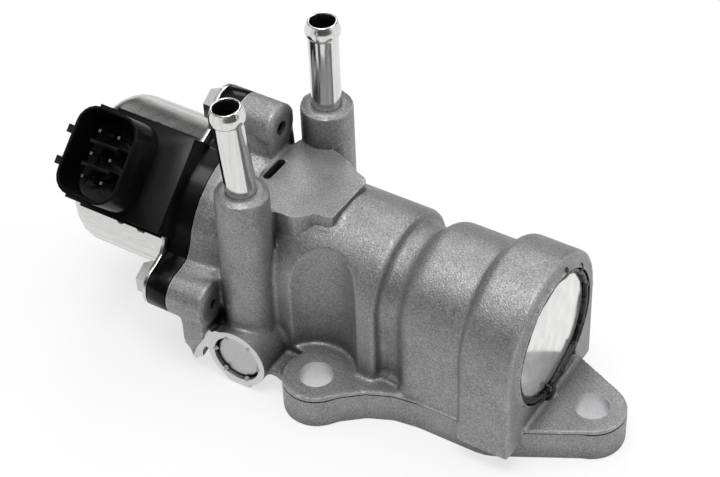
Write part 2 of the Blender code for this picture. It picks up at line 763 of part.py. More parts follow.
def return_spring():
    """A closed coil of round wire between the end of the chamber and the retainer."""
    low = RETAINER_X + RETAINER_T + FIT + SPRING_WIRE_R
    high = SPRING_CHAMBER_END_X - FIT - SPRING_WIRE_R
    per_turn = 10
    count = round(SPRING_TURNS * per_turn)
    rings = []
    for i in range(count + 1):
        share = i / count
        angle = math.tau * SPRING_TURNS * share
        radial = Vector((0.0, math.cos(angle), math.sin(angle)))
        centre = Vector((low + (high - low) * share, 0.0, AXIS_Z)) + radial * SPRING_R
        along = Vector((1.0, 0.0, 0.0))
        wire = ((math.cos(t), math.sin(t)) for t in (math.tau * k / 5 for k in range(5)))
        rings.append([centre + (radial * c + along * s) * SPRING_WIRE_R for c, s in wire])
    return smooth(loft("return_spring", rings, dull_steel()))


def spring_retainer():
    low = RETAINER_X
    high = RETAINER_X + RETAINER_T
    bore = STEM_R + FIT
    lip = 0.0012
    step = SPRING_R - SPRING_WIRE_R - FIT
    profile = ((low, bore), (low, RETAINER_R), (high, RETAINER_R), (high, step))
    profile += ((high + lip, step - 0.0002), (high + lip, bore))
    return on_axis(smooth(turned("spring_retainer", profile, dull_steel(), steps=20)))


def motor_o_ring():
    """Seal in the corner of the pilot bore."""
    outer = PILOT_R - FIT
    radius = O_RING_T / 2
    centre_x = MOTOR_FACE_X + PILOT_DEPTH - FIT - radius
    centre_r = outer - radius
    turns = [math.tau * k / 6 for k in range(6)]
    ring = [(centre_x + radius * math.cos(t), centre_r + radius * math.sin(t)) for t in turns]
    return smooth(turned("motor_o_ring", ring, black_rubber(), steps=28))


def plate_x():
    return MOTOR_FACE_X - FIT - HOUSING_T


def cup_profile(end_x, radius, corner, mouth_x):
    """Outline of a solid cup from the middle of its closed end to the middle of its mouth."""
    turns = [math.pi / 8 * k for k in range(5)]
    edge = [(end_x + corner * (1 - math.cos(t)), radius - corner * (1 - math.sin(t))) for t in turns]
    return [(end_x, 0.0), *edge, (mouth_x, radius), (mouth_x, 0.0)]


def motor_can():
    """Deep-drawn steel cup with a lugged rim, and a window for the connector block."""
    rim_x = plate_x() - FIT
    outside = cup_profile(CAN_END_X, CAN_R, CAN_ROUND, rim_x - PLATE_T / 2)
    can = turned("motor_can", outside, bright_steel(), steps=32)
    can = join(can, prism("rim", lobed_outline(PLATE_R), rim_x - PLATE_T, rim_x, bright_steel(), "X"))
    inner_end = CAN_END_X + CAN_WALL
    inside = cup_profile(inner_end, CAN_R - CAN_WALL, CAN_ROUND - CAN_WALL, rim_x + 0.002)
    can = cut(can, turned("inside", inside, bright_steel(), steps=32))
    for angle in LUG_ANGLES:
        y, z = around_axis(LUG_PITCH_R, angle)
        low, high = rim_x - PLATE_T - 0.002, rim_x + 0.002
        can = cut(can, rod("hole", SCREW_R + FIT, low, high, bright_steel(), "X", (0, y, z), 16))
    return smooth(cut(can, connector_box("window", FIT, bright_steel())))


def to_connector(made):
    """Turns a shape built upright on the valve axis so that it faces the way the connector does."""
    turn = Matrix.Rotation(PLUG_ANGLE - math.pi / 2, 4, "X")
    made.data.transform(Matrix.Translation((0.0, 0.0, AXIS_Z)) @ turn)
    return made


def connector_box(name, grow, material):
    """The block that carries the connector, as wide as the window in the can."""
    half = BLOCK_HALF_W + grow
    end = BLOCK_END_X - grow
    outline = ((end, -half), (0.0, -half), (0.0, half), (end, half))
    outline = [(min(x, plate_x() + 0.001), y) for x, y in outline]
    return to_connector(prism(name, outline, BLOCK_FOOT_N, BLOCK_TOP_N + grow * 40, material))


def shroud_outline(shrink=0.0):
    r = SHROUD_CORNER
    half_l = SHROUD_L / 2 - r
    half_w = SHROUD_W / 2 - r
    corners = ((-half_l, -half_w), (half_l, -half_w), (half_l, half_w), (-half_l, half_w))
    return belt([(SHROUD_X + x, y, r - shrink) for x, y in corners])


def pin_places():
    """Two columns of three pins, as (x, across) in the connector's own frame."""
    half = PIN_COLUMN / 2
    return [(PIN_X + dx, dy) for dx in (-half, half) for dy in (-PIN_ROW, 0.0, PIN_ROW)]


def small_block(name, x0, x1, y0, y1, low, high):
    """A plain block of black moulding, placed in the connector's own frame."""
    outline = ((x0, y0), (x1, y0), (x1, y1), (x0, y1))
    return to_connector(prism(name, outline, low, high, black_plastic()))


def rail(side):
    """Strip along one side of the block, just over the round of the can."""
    outer = BLOCK_HALF_W + RAIL_OUT
    y0, y1 = sorted((side * (BLOCK_HALF_W - 0.002), side * outer))
    low = math.sqrt((CAN_R + FIT) ** 2 - BLOCK_HALF_W**2) + FIT
    return small_block("rail", BLOCK_END_X + 0.0005, plate_x() - 2 * FIT - PLATE_T, y0, y1, low, low + RAIL_T)


def housing_block():
    """Connector block, its rails along the can, the shroud and what stands inside it."""
    block = connector_box("motor_housing", 0.0, black_plastic())
    root = BLOCK_TOP_N - 0.004
    shroud = to_connector(prism("shroud", shroud_outline(), root, SHROUD_TOP_N, black_plastic()))
    for piece in (rail(-1), rail(1), shroud):
        block = join(block, piece)
    floor = BLOCK_TOP_N + 0.001
    hollow = prism("hollow", shroud_outline(SHROUD_WALL), floor, SHROUD_TOP_N + 0.002, black_plastic())
    block = cut(block, to_connector(hollow))
    x0, x1 = PIN_X - RIB_L / 2, PIN_X + RIB_L / 2
    for y in (-PIN_ROW / 2, PIN_ROW / 2):
        top = SHROUD_TOP_N - RIB_DROP
        block = join(block, small_block("rib", x0, x1, y - RIB_W / 2, y + RIB_W / 2, BLOCK_TOP_N, top))
    left = SHROUD_X - SHROUD_L / 2
    high = SHROUD_TOP_N - LATCH_DROP
    for y in (-0.0046, 0.0040):
        y0, y1 = y - LATCH_W / 2, y + LATCH_W / 2
        reach = SHROUD_WALL * 0.6
        block = join(block, small_block("latch", left - LATCH_OUT, left + reach, y0, y1, high - LATCH_H, high))
    return block


def motor_housing():
    """Black moulding: flange with three lugs, front bearing seat, connector block and shroud."""
    back = plate_x()
    front = MOTOR_FACE_X - FIT
    body = prism("motor_housing", lobed_outline(MOTOR_DISC_R), back, front, black_plastic(), "X")
    nose = BEARING_R + 0.0020
    seat = bearing_x() + BEARING_W
    pilot = MOTOR_FACE_X + PILOT_DEPTH - O_RING_T - 2 * FIT
    profile = ((bearing_x(), 0.0), (bearing_x(), nose), (back + 0.001, nose))
    profile += ((front - 0.001, PILOT_R - FIT), (pilot, PILOT_R - FIT), (pilot, 0.0))
    body = join(body, turned("nose", profile, black_plastic(), steps=28))
    room = rod("stator_room", COIL_R + FIT, BLOCK_END_X - 0.01, back + 0.002, black_plastic(), steps=32)
    body = join(body, cut(housing_block(), room))
    for angle in LUG_ANGLES:
        y, z = around_axis(LUG_PITCH_R, angle)
        low, high = back - 0.01, front + 0.01
        body = cut(body, rod("hole", LIMITER_R + FIT, low, high, black_plastic(), "X", (0, y, z), 16))
    for x, y in pin_places():
        body = cut(body, pin_blank("pin_hole", x, y, PIN_HALF + FIT, COIL_R - 0.004, SHROUD_TOP_N))
    hole = LEAD_SCREW_R + 0.0020
    bore = ((bearing_x() - 0.01, 0.0), (bearing_x() - 0.01, BEARING_R + FIT), (seat, BEARING_R + FIT))
    bore += ((seat, hole), (pilot + 0.01, hole), (pilot + 0.01, 0.0))
    return smooth(cut(body, turned("bearing_bore", bore, black_plastic(), steps=24)))


def pin_blank(name, x, y, half, low, high):
    outline = ((x - half, y - half), (x + half, y - half), (x + half, y + half), (x - half, y + half))
    return to_connector(prism(name, outline, low, high, brass()))


def terminal_pins():
    pins = []
    for number, (x, y) in enumerate(pin_places(), 1):
        foot = math.sqrt((COIL_R + 2 * FIT) ** 2 - y**2) + 0.0006
        pins.append(pin_blank(f"terminal_pin_{number}", x, y, PIN_HALF, foot, SHROUD_TOP_N - PIN_DROP))
    return pins


def limiter(name, angle):
    """Steel sleeve that takes the screw's clamping force past the plastic."""
    y, z = around_axis(LUG_PITCH_R, angle)
    low = plate_x()
    high = MOTOR_FACE_X - FIT
    profile = ((low, SCREW_R + FIT), (low, LIMITER_R), (high, LIMITER_R), (high, SCREW_R + FIT))
    return smooth(turned(name, profile, dull_steel(), "X", (0.0, y, z), 16))


def motor_screw(name, angle):
    """Hexagon flange screw, seated on the rim of the can."""
    y, z = around_axis(LUG_PITCH_R, angle)
    seat = plate_x() - 2 * FIT - PLATE_T
    washer = SCREW_HEAD_R + 0.0003
    tip = MOTOR_FACE_X + LUG_T - 0.0022
    chamfer = 0.0006
    top = seat - SCREW_HEAD_H
    corner = SCREW_HEAD_R - 0.0003
    profile = ((seat - SCREW_COLLAR_T - 0.0005, 0.0), (seat - SCREW_COLLAR_T - 0.0005, corner))
    profile += ((seat - SCREW_COLLAR_T, washer - 0.0002), (seat, washer), (seat, SCREW_R))
    profile += ((tip - chamfer, SCREW_R), (tip, SCREW_R - chamfer), (tip, 0.0))
    screw = turned(name, profile, dull_steel(), "X", (0.0, y, z), 16)
    turns = (math.tau * (k + 0.25) / 6 for k in range(6))
    hexagon = [(y + SCREW_HEAD_R * math.cos(t), z + SCREW_HEAD_R * math.sin(t)) for t in turns]
    return smooth(join(screw, prism("hexagon", hexagon, top, seat - chamfer, dull_steel(), "X")))


def coil_stations():
    """Where the two coils lie in the can, from its closed end."""
    first = CAN_END_X + CAN_WALL + JOURNAL_L + 0.0006
    return (first, first + COIL_L + FIT)


def coil_bobbin(name, low):
    """Moulded spool with a flange at each end."""
    cheek = COIL_CHEEK
    core = COIL_BORE_R + COIL_CHEEK
    high = low + COIL_L
    profile = ((low, COIL_BORE_R), (low, COIL_R), (low + cheek, COIL_R), (low + cheek, core))
    profile += ((high - cheek, core), (high - cheek, COIL_R), (high, COIL_R), (high, COIL_BORE_R))
    return smooth(turned(name, profile, black_plastic(), steps=20))


def coil_winding(name, low):
    cheek = COIL_CHEEK + FIT
    core = COIL_BORE_R + COIL_CHEEK + FIT
    outer = COIL_R - 0.0008
    high = low + COIL_L
    profile = ((low + cheek, core), (low + cheek, outer), (high - cheek, outer), (high - cheek, core))
    return smooth(turned(name, profile, copper(), steps=20))


def rotor_start():
    return coil_stations()[0]


def rotor_magnet():
    low = rotor_start()
    profile = ((low, HUB_R + FIT), (low, ROTOR_R), (low + ROTOR_L, ROTOR_R), (low + ROTOR_L, HUB_R + FIT))
    return on_axis(smooth(turned("rotor_magnet", profile, magnet(), steps=20)))


def bearing_x():
    """Motor-side face of the front bearing, whose seat reaches a little into the flange."""
    return plate_x() - BEARING_W + 0.0008


def rotor_hub():
    """Plastic hub of the magnet, threaded inside for the lead screw, with a journal at each end."""
    low = rotor_start()
    bore = LEAD_SCREW_R + FIT
    journal = JOURNAL_R
    front = bearing_x() + BEARING_W - 0.0006
    end = low - JOURNAL_L
    profile = ((end, bore), (end, journal), (low - 0.0006, journal), (low - 0.0006, HUB_R))
    profile += ((low + ROTOR_L, HUB_R), (low + ROTOR_L, journal + 0.0004), (bearing_x() - FIT, journal + 0.0004))
    profile += ((bearing_x() - FIT, journal), (front, journal), (front, bore))
    return on_axis(smooth(turned("rotor_hub", profile, black_plastic(), steps=20)))


def rear_bush():
    low = CAN_END_X + CAN_WALL + FIT
    high = rotor_start() - 0.0006 - FIT
    bore = JOURNAL_R + FIT
    rim = COIL_BORE_R
    profile = ((low, bore), (low, rim), (high - 0.0008, rim), (high, rim - 0.0020), (high, bore))
    return smooth(turned("rear_bush", profile, brass(), steps=20))


def bearing_races():
    """Front ball bearing: the outer race with its shields, and the inner race on the hub."""
    low = bearing_x()
    high = low + BEARING_W - FIT
    inner = JOURNAL_R + FIT
    split = (inner + BEARING_R) / 2
    outer_profile = ((low, split + 0.0005), (low, BEARING_R), (high, BEARING_R), (high, split + 0.0005))
    inner_profile = ((low, inner), (low, split - FIT + 0.0002), (high, split - FIT + 0.0002), (high, inner))
    outer = turned("bearing_outer_race", outer_profile, dull_steel(), steps=24)
    inner_race = turned("bearing_inner_race", inner_profile, dull_steel(), steps=20)
    return smooth(outer), on_axis(smooth(inner_race))


def lead_screw():
    """Motor spindle that the turning hub pushes out against the stem. It can't turn itself."""
    end = STEM_TOP_X - FIT
    start = rotor_start() - 0.0010
    profile = ((start, 0.0), (start, LEAD_SCREW_R - 0.0004), (start + 0.0004, LEAD_SCREW_R))
    profile += ((end - 0.0020, LEAD_SCREW_R), (end, LEAD_SCREW_R - 0.0012), (end, 0.0))
    return on_axis(smooth(turned("lead_screw", profile, dull_steel(), steps=16)))


def build():
    clear_scene()
    valve_body()
    nipple("coolant_nipple_front", -BOSS_Y, FRONT_LEAN)
    nipple("coolant_nipple_rear", BOSS_Y, REAR_LEAN)
    end_plug()
    end_sealant()
    coolant_core_plug()
    valve_seat()
    poppet_valve()
    stem_bush()
    stem_shield()
    return_spring()
    spring_retainer()
    motor_o_ring()
    motor_can()
    motor_housing()
    terminal_pins()
    for place_name, angle in zip(("top", "front", "rear"), LUG_ANGLES):
        limiter(f"screw_sleeve_{place_name}", angle)
        motor_screw(f"motor_screw_{place_name}", angle)
    for place_name, low in zip(("rear", "front"), coil_stations()):
        coil_bobbin(f"coil_bobbin_{place_name}", low)
        coil_winding(f"coil_winding_{place_name}", low)
    rotor_magnet()
    rotor_hub()
    rear_bush()
    bearing_races()
    lead_screw()


build()
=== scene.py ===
# %% [markdown]
# # An exhaust gas recirculation valve
#
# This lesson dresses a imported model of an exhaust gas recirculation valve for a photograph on
# white. The solids come first, as a frame that is never moved. Each visible piece is then given
# the surface of the real one: sand-cast aluminium, plated tube, drawn steel and black moulding.

# %% Load the frame
import math

import bmesh
import bpy
from mathutils import Matrix, Vector, noise


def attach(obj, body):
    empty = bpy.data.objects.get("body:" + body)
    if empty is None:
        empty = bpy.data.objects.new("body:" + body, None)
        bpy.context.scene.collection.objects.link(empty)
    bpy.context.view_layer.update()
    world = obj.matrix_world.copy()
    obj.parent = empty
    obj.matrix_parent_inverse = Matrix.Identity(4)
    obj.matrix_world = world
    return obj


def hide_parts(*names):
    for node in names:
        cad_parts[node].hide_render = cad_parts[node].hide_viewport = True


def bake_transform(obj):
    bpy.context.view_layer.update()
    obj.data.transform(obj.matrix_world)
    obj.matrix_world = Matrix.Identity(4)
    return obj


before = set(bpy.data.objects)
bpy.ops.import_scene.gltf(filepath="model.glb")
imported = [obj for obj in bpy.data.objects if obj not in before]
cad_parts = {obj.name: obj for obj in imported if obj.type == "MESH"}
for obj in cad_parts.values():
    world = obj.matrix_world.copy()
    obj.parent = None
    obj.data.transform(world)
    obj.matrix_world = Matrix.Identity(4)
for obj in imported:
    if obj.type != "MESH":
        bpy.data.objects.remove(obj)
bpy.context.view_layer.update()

AXIS_Z = 0.030

# %% [markdown]
# ## The camera
#
# The photograph looks down on the valve from the front right with a long lens. The camera is given
# by its place and three angles, worked out from points of the photograph whose places on the part
# are known. A long lens keeps parallel edges nearly parallel, as a product photograph does.

# %% Place the camera
CAMERA_AT = Vector((0.18076, -0.32430, 0.38468))
AZIMUTH, ELEVATION, ROLL = (math.radians(a) for a in (33.51, 41.76, -2.43))
LENS_MM = 102.1


def camera_turn(azimuth, elevation, roll):
    """Columns are the camera's right, up and back."""
    right = Vector((math.cos(azimuth), math.sin(azimuth), 0.0))
    flat_back = Vector((math.sin(azimuth), -math.cos(azimuth), 0.0))
    back = flat_back * math.cos(elevation) + Vector((0.0, 0.0, math.sin(elevation)))
    up = back.cross(right)
    rolled_right = right * math.cos(roll) + up * math.sin(roll)
    rolled_up = up * math.cos(roll) - right * math.sin(roll)
    return Matrix((rolled_right, rolled_up, back)).transposed()


def add_object(name, data):
    """Puts new data into the scene as an object at the origin."""
    made = bpy.data.objects.new(name, data)
    bpy.context.scene.collection.objects.link(made)
    return made


camera_data = bpy.data.cameras.new("camera")
camera_data.lens = LENS_MM
camera_data.clip_start = 0.01
camera = add_object("camera", camera_data)
turn = camera_turn(AZIMUTH, ELEVATION, ROLL).to_4x4()
camera.matrix_world = Matrix.Translation(CAMERA_AT) @ turn
bpy.context.scene.camera = camera
bpy.context.scene.view_settings.view_transform = "Standard"
print("camera at", [round(v, 3) for v in CAMERA_AT])

# %% [markdown]
# ## Floor and light
#
# Metal shows what it reflects. In the photograph the casting is darkest where it mirrors the level
# of the horizon, and bright where it mirrors the ceiling or the paper. So the room here is dark low
# down and bright overhead. One broad lamp hangs above the front, and four weaker ones stand round
# the valve. The camera itself sees the room and most of the floor as white, while the floor lights
# and mirrors as pale paper does.

# %% Nodes helpers
def new_material(name):
    material = bpy.data.materials.new(name)
    material.use_nodes = True
    return material, material.node_tree


def shade(value):
    """A colour as it is, or a grey that is given as one number."""
    return value if isinstance(value, tuple) else (value,) * 3


def feed(tree, made, inputs):
    """Gives a node's inputs, by name or number, their values or links to other outputs."""
    for name, value in dict(inputs).items():
        socket = made.inputs[name]
        if isinstance(value, bpy.types.NodeSocket):
            tree.links.new(value, socket)
        elif socket.type == "RGBA":
            socket.default_value = (*shade(value), 1.0)
        else:
            socket.default_value = value


def add_node(tree, kind, inputs=(), **settings):
    """Adds a node, sets it up and gives back its outputs."""
    made = tree.nodes.new(kind)
    for name, value in settings.items():
        setattr(made, name, value)
    feed(tree, made, inputs)
    return made.outputs


def mixed(tree, factor, first, second, kind="RGBA"):
    """Mixes two colours, or two numbers where the kind is FLOAT."""
    ends = {"Factor": factor, "A": first, "B": second}
    return add_node(tree, "ShaderNodeMix", ends, data_type=kind)["Result"]


def maths(tree, operation, *values):
    """A Math node on numbers or on other nodes' outputs."""
    return add_node(tree, "ShaderNodeMath", enumerate(values), operation=operation)[0]

# %% World
ROOM_LOW, ROOM_HIGH = 0.07, 1.35
DARK_UP_TO, BRIGHT_FROM = 0.58, 0.98
SHOWN_WHITE = 1.0
world = bpy.data.worlds.new("white_room")
world.use_nodes = True
bpy.context.scene.world = world
tree = world.node_tree
direction = add_node(tree, "ShaderNodeTexCoord")["Generated"]
height = add_node(tree, "ShaderNodeSeparateXYZ", {"Vector": direction})["Z"]
rise = {"Value": height, "From Min": DARK_UP_TO, "From Max": BRIGHT_FROM}
rise.update({"To Min": ROOM_LOW, "To Max": ROOM_HIGH})
room = add_node(tree, "ShaderNodeMapRange", rise, interpolation_type="SMOOTHSTEP")["Result"]
seen = add_node(tree, "ShaderNodeLightPath")["Is Camera Ray"]
shown = mixed(tree, seen, room, SHOWN_WHITE, "FLOAT")
feed(tree, tree.nodes["Background"], {"Color": 1.0, "Strength": shown})
print("room light from", ROOM_LOW, "to", ROOM_HIGH)

# %% Floor
FLOOR_Z, FLOOR_REACH = -0.0004, 4
FLOOR_WHITE, FLOOR_SHOWN = 0.76, 0.86
SHADOW_SHARE = 0.30
MIRRORED_SHARE = 0.95


def make_paper():
    """Paper that takes shadows, and glows towards the camera and towards mirroring metal."""
    material, tree = new_material("white_paper")
    path = add_node(tree, "ShaderNodeLightPath")
    seen = path["Is Camera Ray"]
    colour = mixed(tree, seen, FLOOR_WHITE, FLOOR_SHOWN)
    shader = tree.nodes["Principled BSDF"]
    feed(tree, shader, {"Base Color": colour, "Roughness": 0.9, "Specular IOR Level": 0.0})
    mirrored = maths(tree, "MULTIPLY", path["Is Glossy Ray"], MIRRORED_SHARE)
    share = maths(tree, "MULTIPLY_ADD", seen, 1.0 - SHADOW_SHARE, mirrored)
    glow = add_node(tree, "ShaderNodeEmission")[0]
    both = add_node(tree, "ShaderNodeMixShader", {"Fac": share, 1: shader.outputs[0], 2: glow})[0]
    feed(tree, tree.nodes["Material Output"], {"Surface": both})
    return material


floor_mesh = bpy.data.meshes.new("floor")
around = ((-1, -1), (1, -1), (1, 1), (-1, 1))
corners = [(x * FLOOR_REACH, y * FLOOR_REACH, FLOOR_Z) for x, y in around]
floor_mesh.from_pydata(corners, [], [(0, 1, 2, 3)])
floor = add_object("floor", floor_mesh)
floor_mesh.materials.append(make_paper())
print("floor at", FLOOR_Z, "m")

# %% Lamps
LAMPS = {  # place, the point of the valve's axis it is turned to, width and height, watts
    "top_light": ((0.02, -0.22, 0.90), -0.02, (0.50, 0.35), 3.8),
    "left_light": ((-0.75, -0.35, 0.35), -0.03, (0.30, 0.50), 0.4),
    "far_left_light": ((-0.38, 0.57, 0.66), -0.02, (0.35, 0.30), 1.5),
    "far_right_light": ((0.50, 0.50, 0.55), 0.02, (0.30, 0.30), 1.4),
    "right_light": ((0.70, 0.15, 0.30), 0.02, (0.25, 0.40), 1.0),
}
for name, (at, aim_x, size, watts) in LAMPS.items():
    light = bpy.data.lights.new(name, "AREA")
    light.shape = "RECTANGLE"
    light.size, light.size_y = size
    light.energy = watts
    lamp = add_object(name, light)
    lamp.location = at
    aim = Vector((aim_x, 0.0, AXIS_Z)) - Vector(at)
    lamp.rotation_euler = aim.to_track_quat("-Z", "Y").to_euler()
print("lamps:", list(LAMPS))

# %% [markdown]
# ## Finishes
#
# Cast aluminium that was shot-blasted is grey and matt with a fine grain about half a millimetre
# across. The grain is a bump, and a slow noise varies its grey a little. Milled faces of the same
# casting are brighter and smoother. Every pattern reads Object coordinates, so it stays on the
# piece from every side. Hollows and deep corners get painted shade, a darker grey laid into their
# colour: pointiness finds the hollows, and an ambient occlusion node finds the corners.

# %% Finish helpers
EVEN = (1.0, 1.0, 1.0)


def noise_at(tree, size, detail, stretch=EVEN):
    """A noise whose blobs are about this size in metres. Stretch squeezes it along some axes."""
    place = add_node(tree, "ShaderNodeTexCoord")["Object"]
    spread = add_node(tree, "ShaderNodeMapping", {"Vector": place, "Scale": stretch})["Vector"]
    look = {"Vector": spread, "Scale": 1.0 / size, "Detail": detail}
    return add_node(tree, "ShaderNodeTexNoise", look)["Fac"]


def ramp(tree, source, low, high, first=0.0, second=1.0):
    """From the first shade to the second as the source goes from low to high."""
    made = tree.nodes.new("ShaderNodeValToRGB")
    start, end = made.color_ramp.elements
    start.position, end.position = low, high
    start.color, end.color = (*shade(first), 1.0), (*shade(second), 1.0)
    feed(tree, made, {"Fac": source})
    return made.outputs["Color"]


def bump(tree, height, depth, strength, under=None):
    """A bump of this depth in metres, on top of another bump if one is given."""
    look = {"Height": height, "Distance": depth, "Strength": strength}
    if under is not None:
        look["Normal"] = under
    return add_node(tree, "ShaderNodeBump", look)["Normal"]


def dress(tree, base, rough, relief, metallic=0.0, shine=0.5):
    """Gives the material's shader all that the light meets."""
    looks = {"Base Color": base, "Roughness": rough, "Normal": relief}
    looks.update({"Metallic": metallic, "Specular IOR Level": shine})
    feed(tree, tree.nodes["Principled BSDF"], looks)

# %% Cast aluminium
CAST_GREY = 0.28
# The edge grey is for wear; the last two greys are painted shade for hollows and deep corners.
EDGE_GREY, HOLLOW_SHADE_GREY, AO_SHADE_GREY = (0.52, 0.52, 0.53), 0.10, 0.035
BLOTCH_SIZE, SPECK_SIZE, GRAIN_SIZE = 0.006, 0.0011, 0.00042
SPECK_DEPTH, GRAIN_DEPTH = 0.00018, 0.00012
GRAIN_SHARE = 0.38
# How far the ambient occlusion for the painted shade in deep corners looks.
AO_SHADE_REACH = 0.010


def make_cast_aluminium():
    """Blotches and grain, then paler edges for wear, and painted shade in hollows and deep corners."""
    material, tree = new_material("cast_aluminium")
    grain = noise_at(tree, GRAIN_SIZE, 3.0)
    blotch = noise_at(tree, BLOTCH_SIZE, 3.0)
    speck = noise_at(tree, SPECK_SIZE, 2.0)
    dark = tuple(CAST_GREY * k for k in (0.84, 0.84, 0.85))
    light = tuple(CAST_GREY * k for k in (1.14, 1.14, 1.15))
    base = ramp(tree, blotch, 0.3, 0.7, dark, light)
    base = mixed(tree, GRAIN_SHARE, base, ramp(tree, grain, 0.35, 0.72, 0.12, 0.62))
    # Pointiness is high on edges, which get paler for wear, and low in hollows, which get painted
    # shade.
    wear_and_shade = add_node(tree, "ShaderNodeNewGeometry")["Pointiness"]
    base = mixed(tree, ramp(tree, wear_and_shade, 0.52, 0.60), base, EDGE_GREY)
    # Painted shade: hollows are darkened towards a dark grey.
    base = mixed(tree, ramp(tree, wear_and_shade, 0.40, 0.48, 1.0, 0.0), base, HOLLOW_SHADE_GREY)
    # Painted shade: ambient occlusion darkens the colour in deep corners, towards a near black.
    open_sky = add_node(tree, "ShaderNodeAmbientOcclusion", {"Distance": AO_SHADE_REACH}, samples=6)["AO"]
    base = mixed(tree, ramp(tree, open_sky, 0.22, 0.80, 1.0, 0.0), base, AO_SHADE_GREY)
    relief = bump(tree, grain, GRAIN_DEPTH, 0.80)
    relief = bump(tree, speck, SPECK_DEPTH, 0.35, relief)
    dress(tree, base, ramp(tree, speck, 0.3, 0.7, 0.42, 0.60), relief, 0.75, 0.4)
    return material


cast_aluminium = make_cast_aluminium()
print("made", cast_aluminium.name)

# %% [markdown]
# Milled and turned faces show the tool's marks as very fine lines. Stretching a noise strongly
# along one axis gives such lines, which is simpler than drawing each mark.

# %% Bare and plated metals
def make_metal(
    name, colour, roughness, line_size, stretch=EVEN, depth=0.00001, smear=0.10, metallic=1.0
):
    """A metal with fine marks, and smears that change its gloss a little."""
    material, tree = new_material(name)
    marks = noise_at(tree, line_size, 2.0, stretch)
    smears = noise_at(tree, 0.004, 3.0)
    base = ramp(tree, marks, 0.3, 0.7, tuple(c * 0.86 for c in colour), colour)
    low, high = max(0.03, roughness - smear / 2), roughness + smear / 2
    rough = ramp(tree, smears, 0.35, 0.7, low, high)
    dress(tree, base, rough, bump(tree, marks, depth, 0.5), metallic)
    return material


made_before = len(bpy.data.materials)
milled_aluminium = make_metal("milled_aluminium", (0.62, 0.62, 0.63), 0.34, 0.0005, (1.0, 0.05, 1.0))
bright_plating = make_metal(
    "bright_plating", (0.74, 0.74, 0.73), 0.12, 0.0006, (1.0, 1.0, 0.06), smear=0.06
)
drawn_steel = make_metal(
    "drawn_steel", (0.68, 0.68, 0.67), 0.28, 0.0007, (0.25, 1.0, 1.0), 0.000006, 0.05
)
pressed_cup = make_metal(
    "pressed_cup", (0.84, 0.84, 0.83), 0.15, 0.0030, (1.0, 1.0, 0.6), metallic=0.78
)
dull_plating = make_metal("dull_plating", (0.50,) * 3, 0.38, 0.0005, depth=0.00002, smear=0.12)
zinc_plating = make_metal("zinc_plating", (0.55, 0.55, 0.54), 0.28, 0.0004, smear=0.12)
ground_steel = make_metal("ground_steel", (0.50,) * 3, 0.32, 0.0004, (0.08, 1.0, 1.0))
tinned_brass = make_metal("tinned_brass", (0.62, 0.61, 0.58), 0.20, 0.0003, depth=0.000005)
bronze = make_metal("bronze", (0.52, 0.36, 0.17), 0.35, 0.00025)
copper_wire = make_metal(
    "copper_wire", (0.60, 0.25, 0.10), 0.35, 0.0003, (0.1, 1.0, 1.0), 0.00004
)
sintered_magnet = make_metal("sintered_magnet", (0.10, 0.10, 0.11), 0.55, 0.0004)
print("metals made:", len(bpy.data.materials) - made_before)


# %% [markdown]
# The black moulding is glass-filled nylon. It is not a pure black: it has a fine spark-eroded
# texture and a soft gloss. The sealant is a glossy rubber that was squeezed out while wet.

# %% Black moulding and sealant
def make_moulding(name, colour, roughness, grain_size, grain_depth, shine):
    """A moulding or rubber whose colour and gloss wander a little, with a fine grain."""
    material, tree = new_material(name)
    grain = noise_at(tree, grain_size, 2.0)
    cloud = noise_at(tree, 0.009, 3.0)
    dark, light = (tuple(c * k for c in colour) for k in (0.75, 1.35))
    base = ramp(tree, cloud, 0.3, 0.7, dark, light)
    rough = ramp(tree, cloud, 0.3, 0.7, roughness - 0.05, roughness + 0.06)
    dress(tree, base, rough, bump(tree, grain, grain_depth, 0.4), shine=shine)
    return material


black_moulding = make_moulding("black_moulding", (0.004, 0.004, 0.0043), 0.18, 0.0004, 0.00002, 0.16)
black_sealant = make_moulding("black_sealant", (0.006,) * 3, 0.24, 0.0012, 0.00008, 0.4)
seal_rubber = make_moulding("seal_rubber", (0.015,) * 3, 0.5, 0.0005, 0.00002, 0.2)
print("mouldings made")

# %% [markdown]
# ## Helpers for pieces
#
# Most pieces of a valve are turned, pressed or cast. A turned piece is a profile of distances
# along an axis and radii, swept round. Every piece keeps its object at the origin with its place
# in the mesh, as the solids do, and rides on its body by name.

# %% Mesh helpers
ON_AXIS = Matrix.Translation((0.0, 0.0, AXIS_Z))
ALONG = {
    "X": Matrix.Identity(4),
    "Y": Matrix.Rotation(math.pi / 2, 4, "Z"),
    "Z": Matrix.Rotation(-math.pi / 2, 4, "Y"),
}
CORNER_STEPS = 4


def shade_smooth(piece, sharp):
    """Smooth shading but for edges that are sharper than this angle."""
    piece.data.shade_smooth()
    piece.data.set_sharp_from_angle(angle=math.radians(sharp))


def make_piece(name, shape, *materials, sharp=35):
    """Puts a bmesh into the scene as an object."""
    mesh = bpy.data.meshes.new(name)
    shape.to_mesh(mesh)
    shape.free()
    for material in materials:
        mesh.materials.append(material)
    made = add_object(name, mesh)
    shade_smooth(made, sharp)
    return made


def one_finish(piece, material, sharp):
    """Gives all faces of a piece the same finish."""
    piece.data.materials.clear()
    piece.data.materials.append(material)
    for face in piece.data.polygons:
        face.material_index = 0
    shade_smooth(piece, sharp)


def stand_for(piece, node):
    """The piece rides on the body and is shown in place of the node."""
    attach(piece, "body")
    if node:
        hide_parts(node)


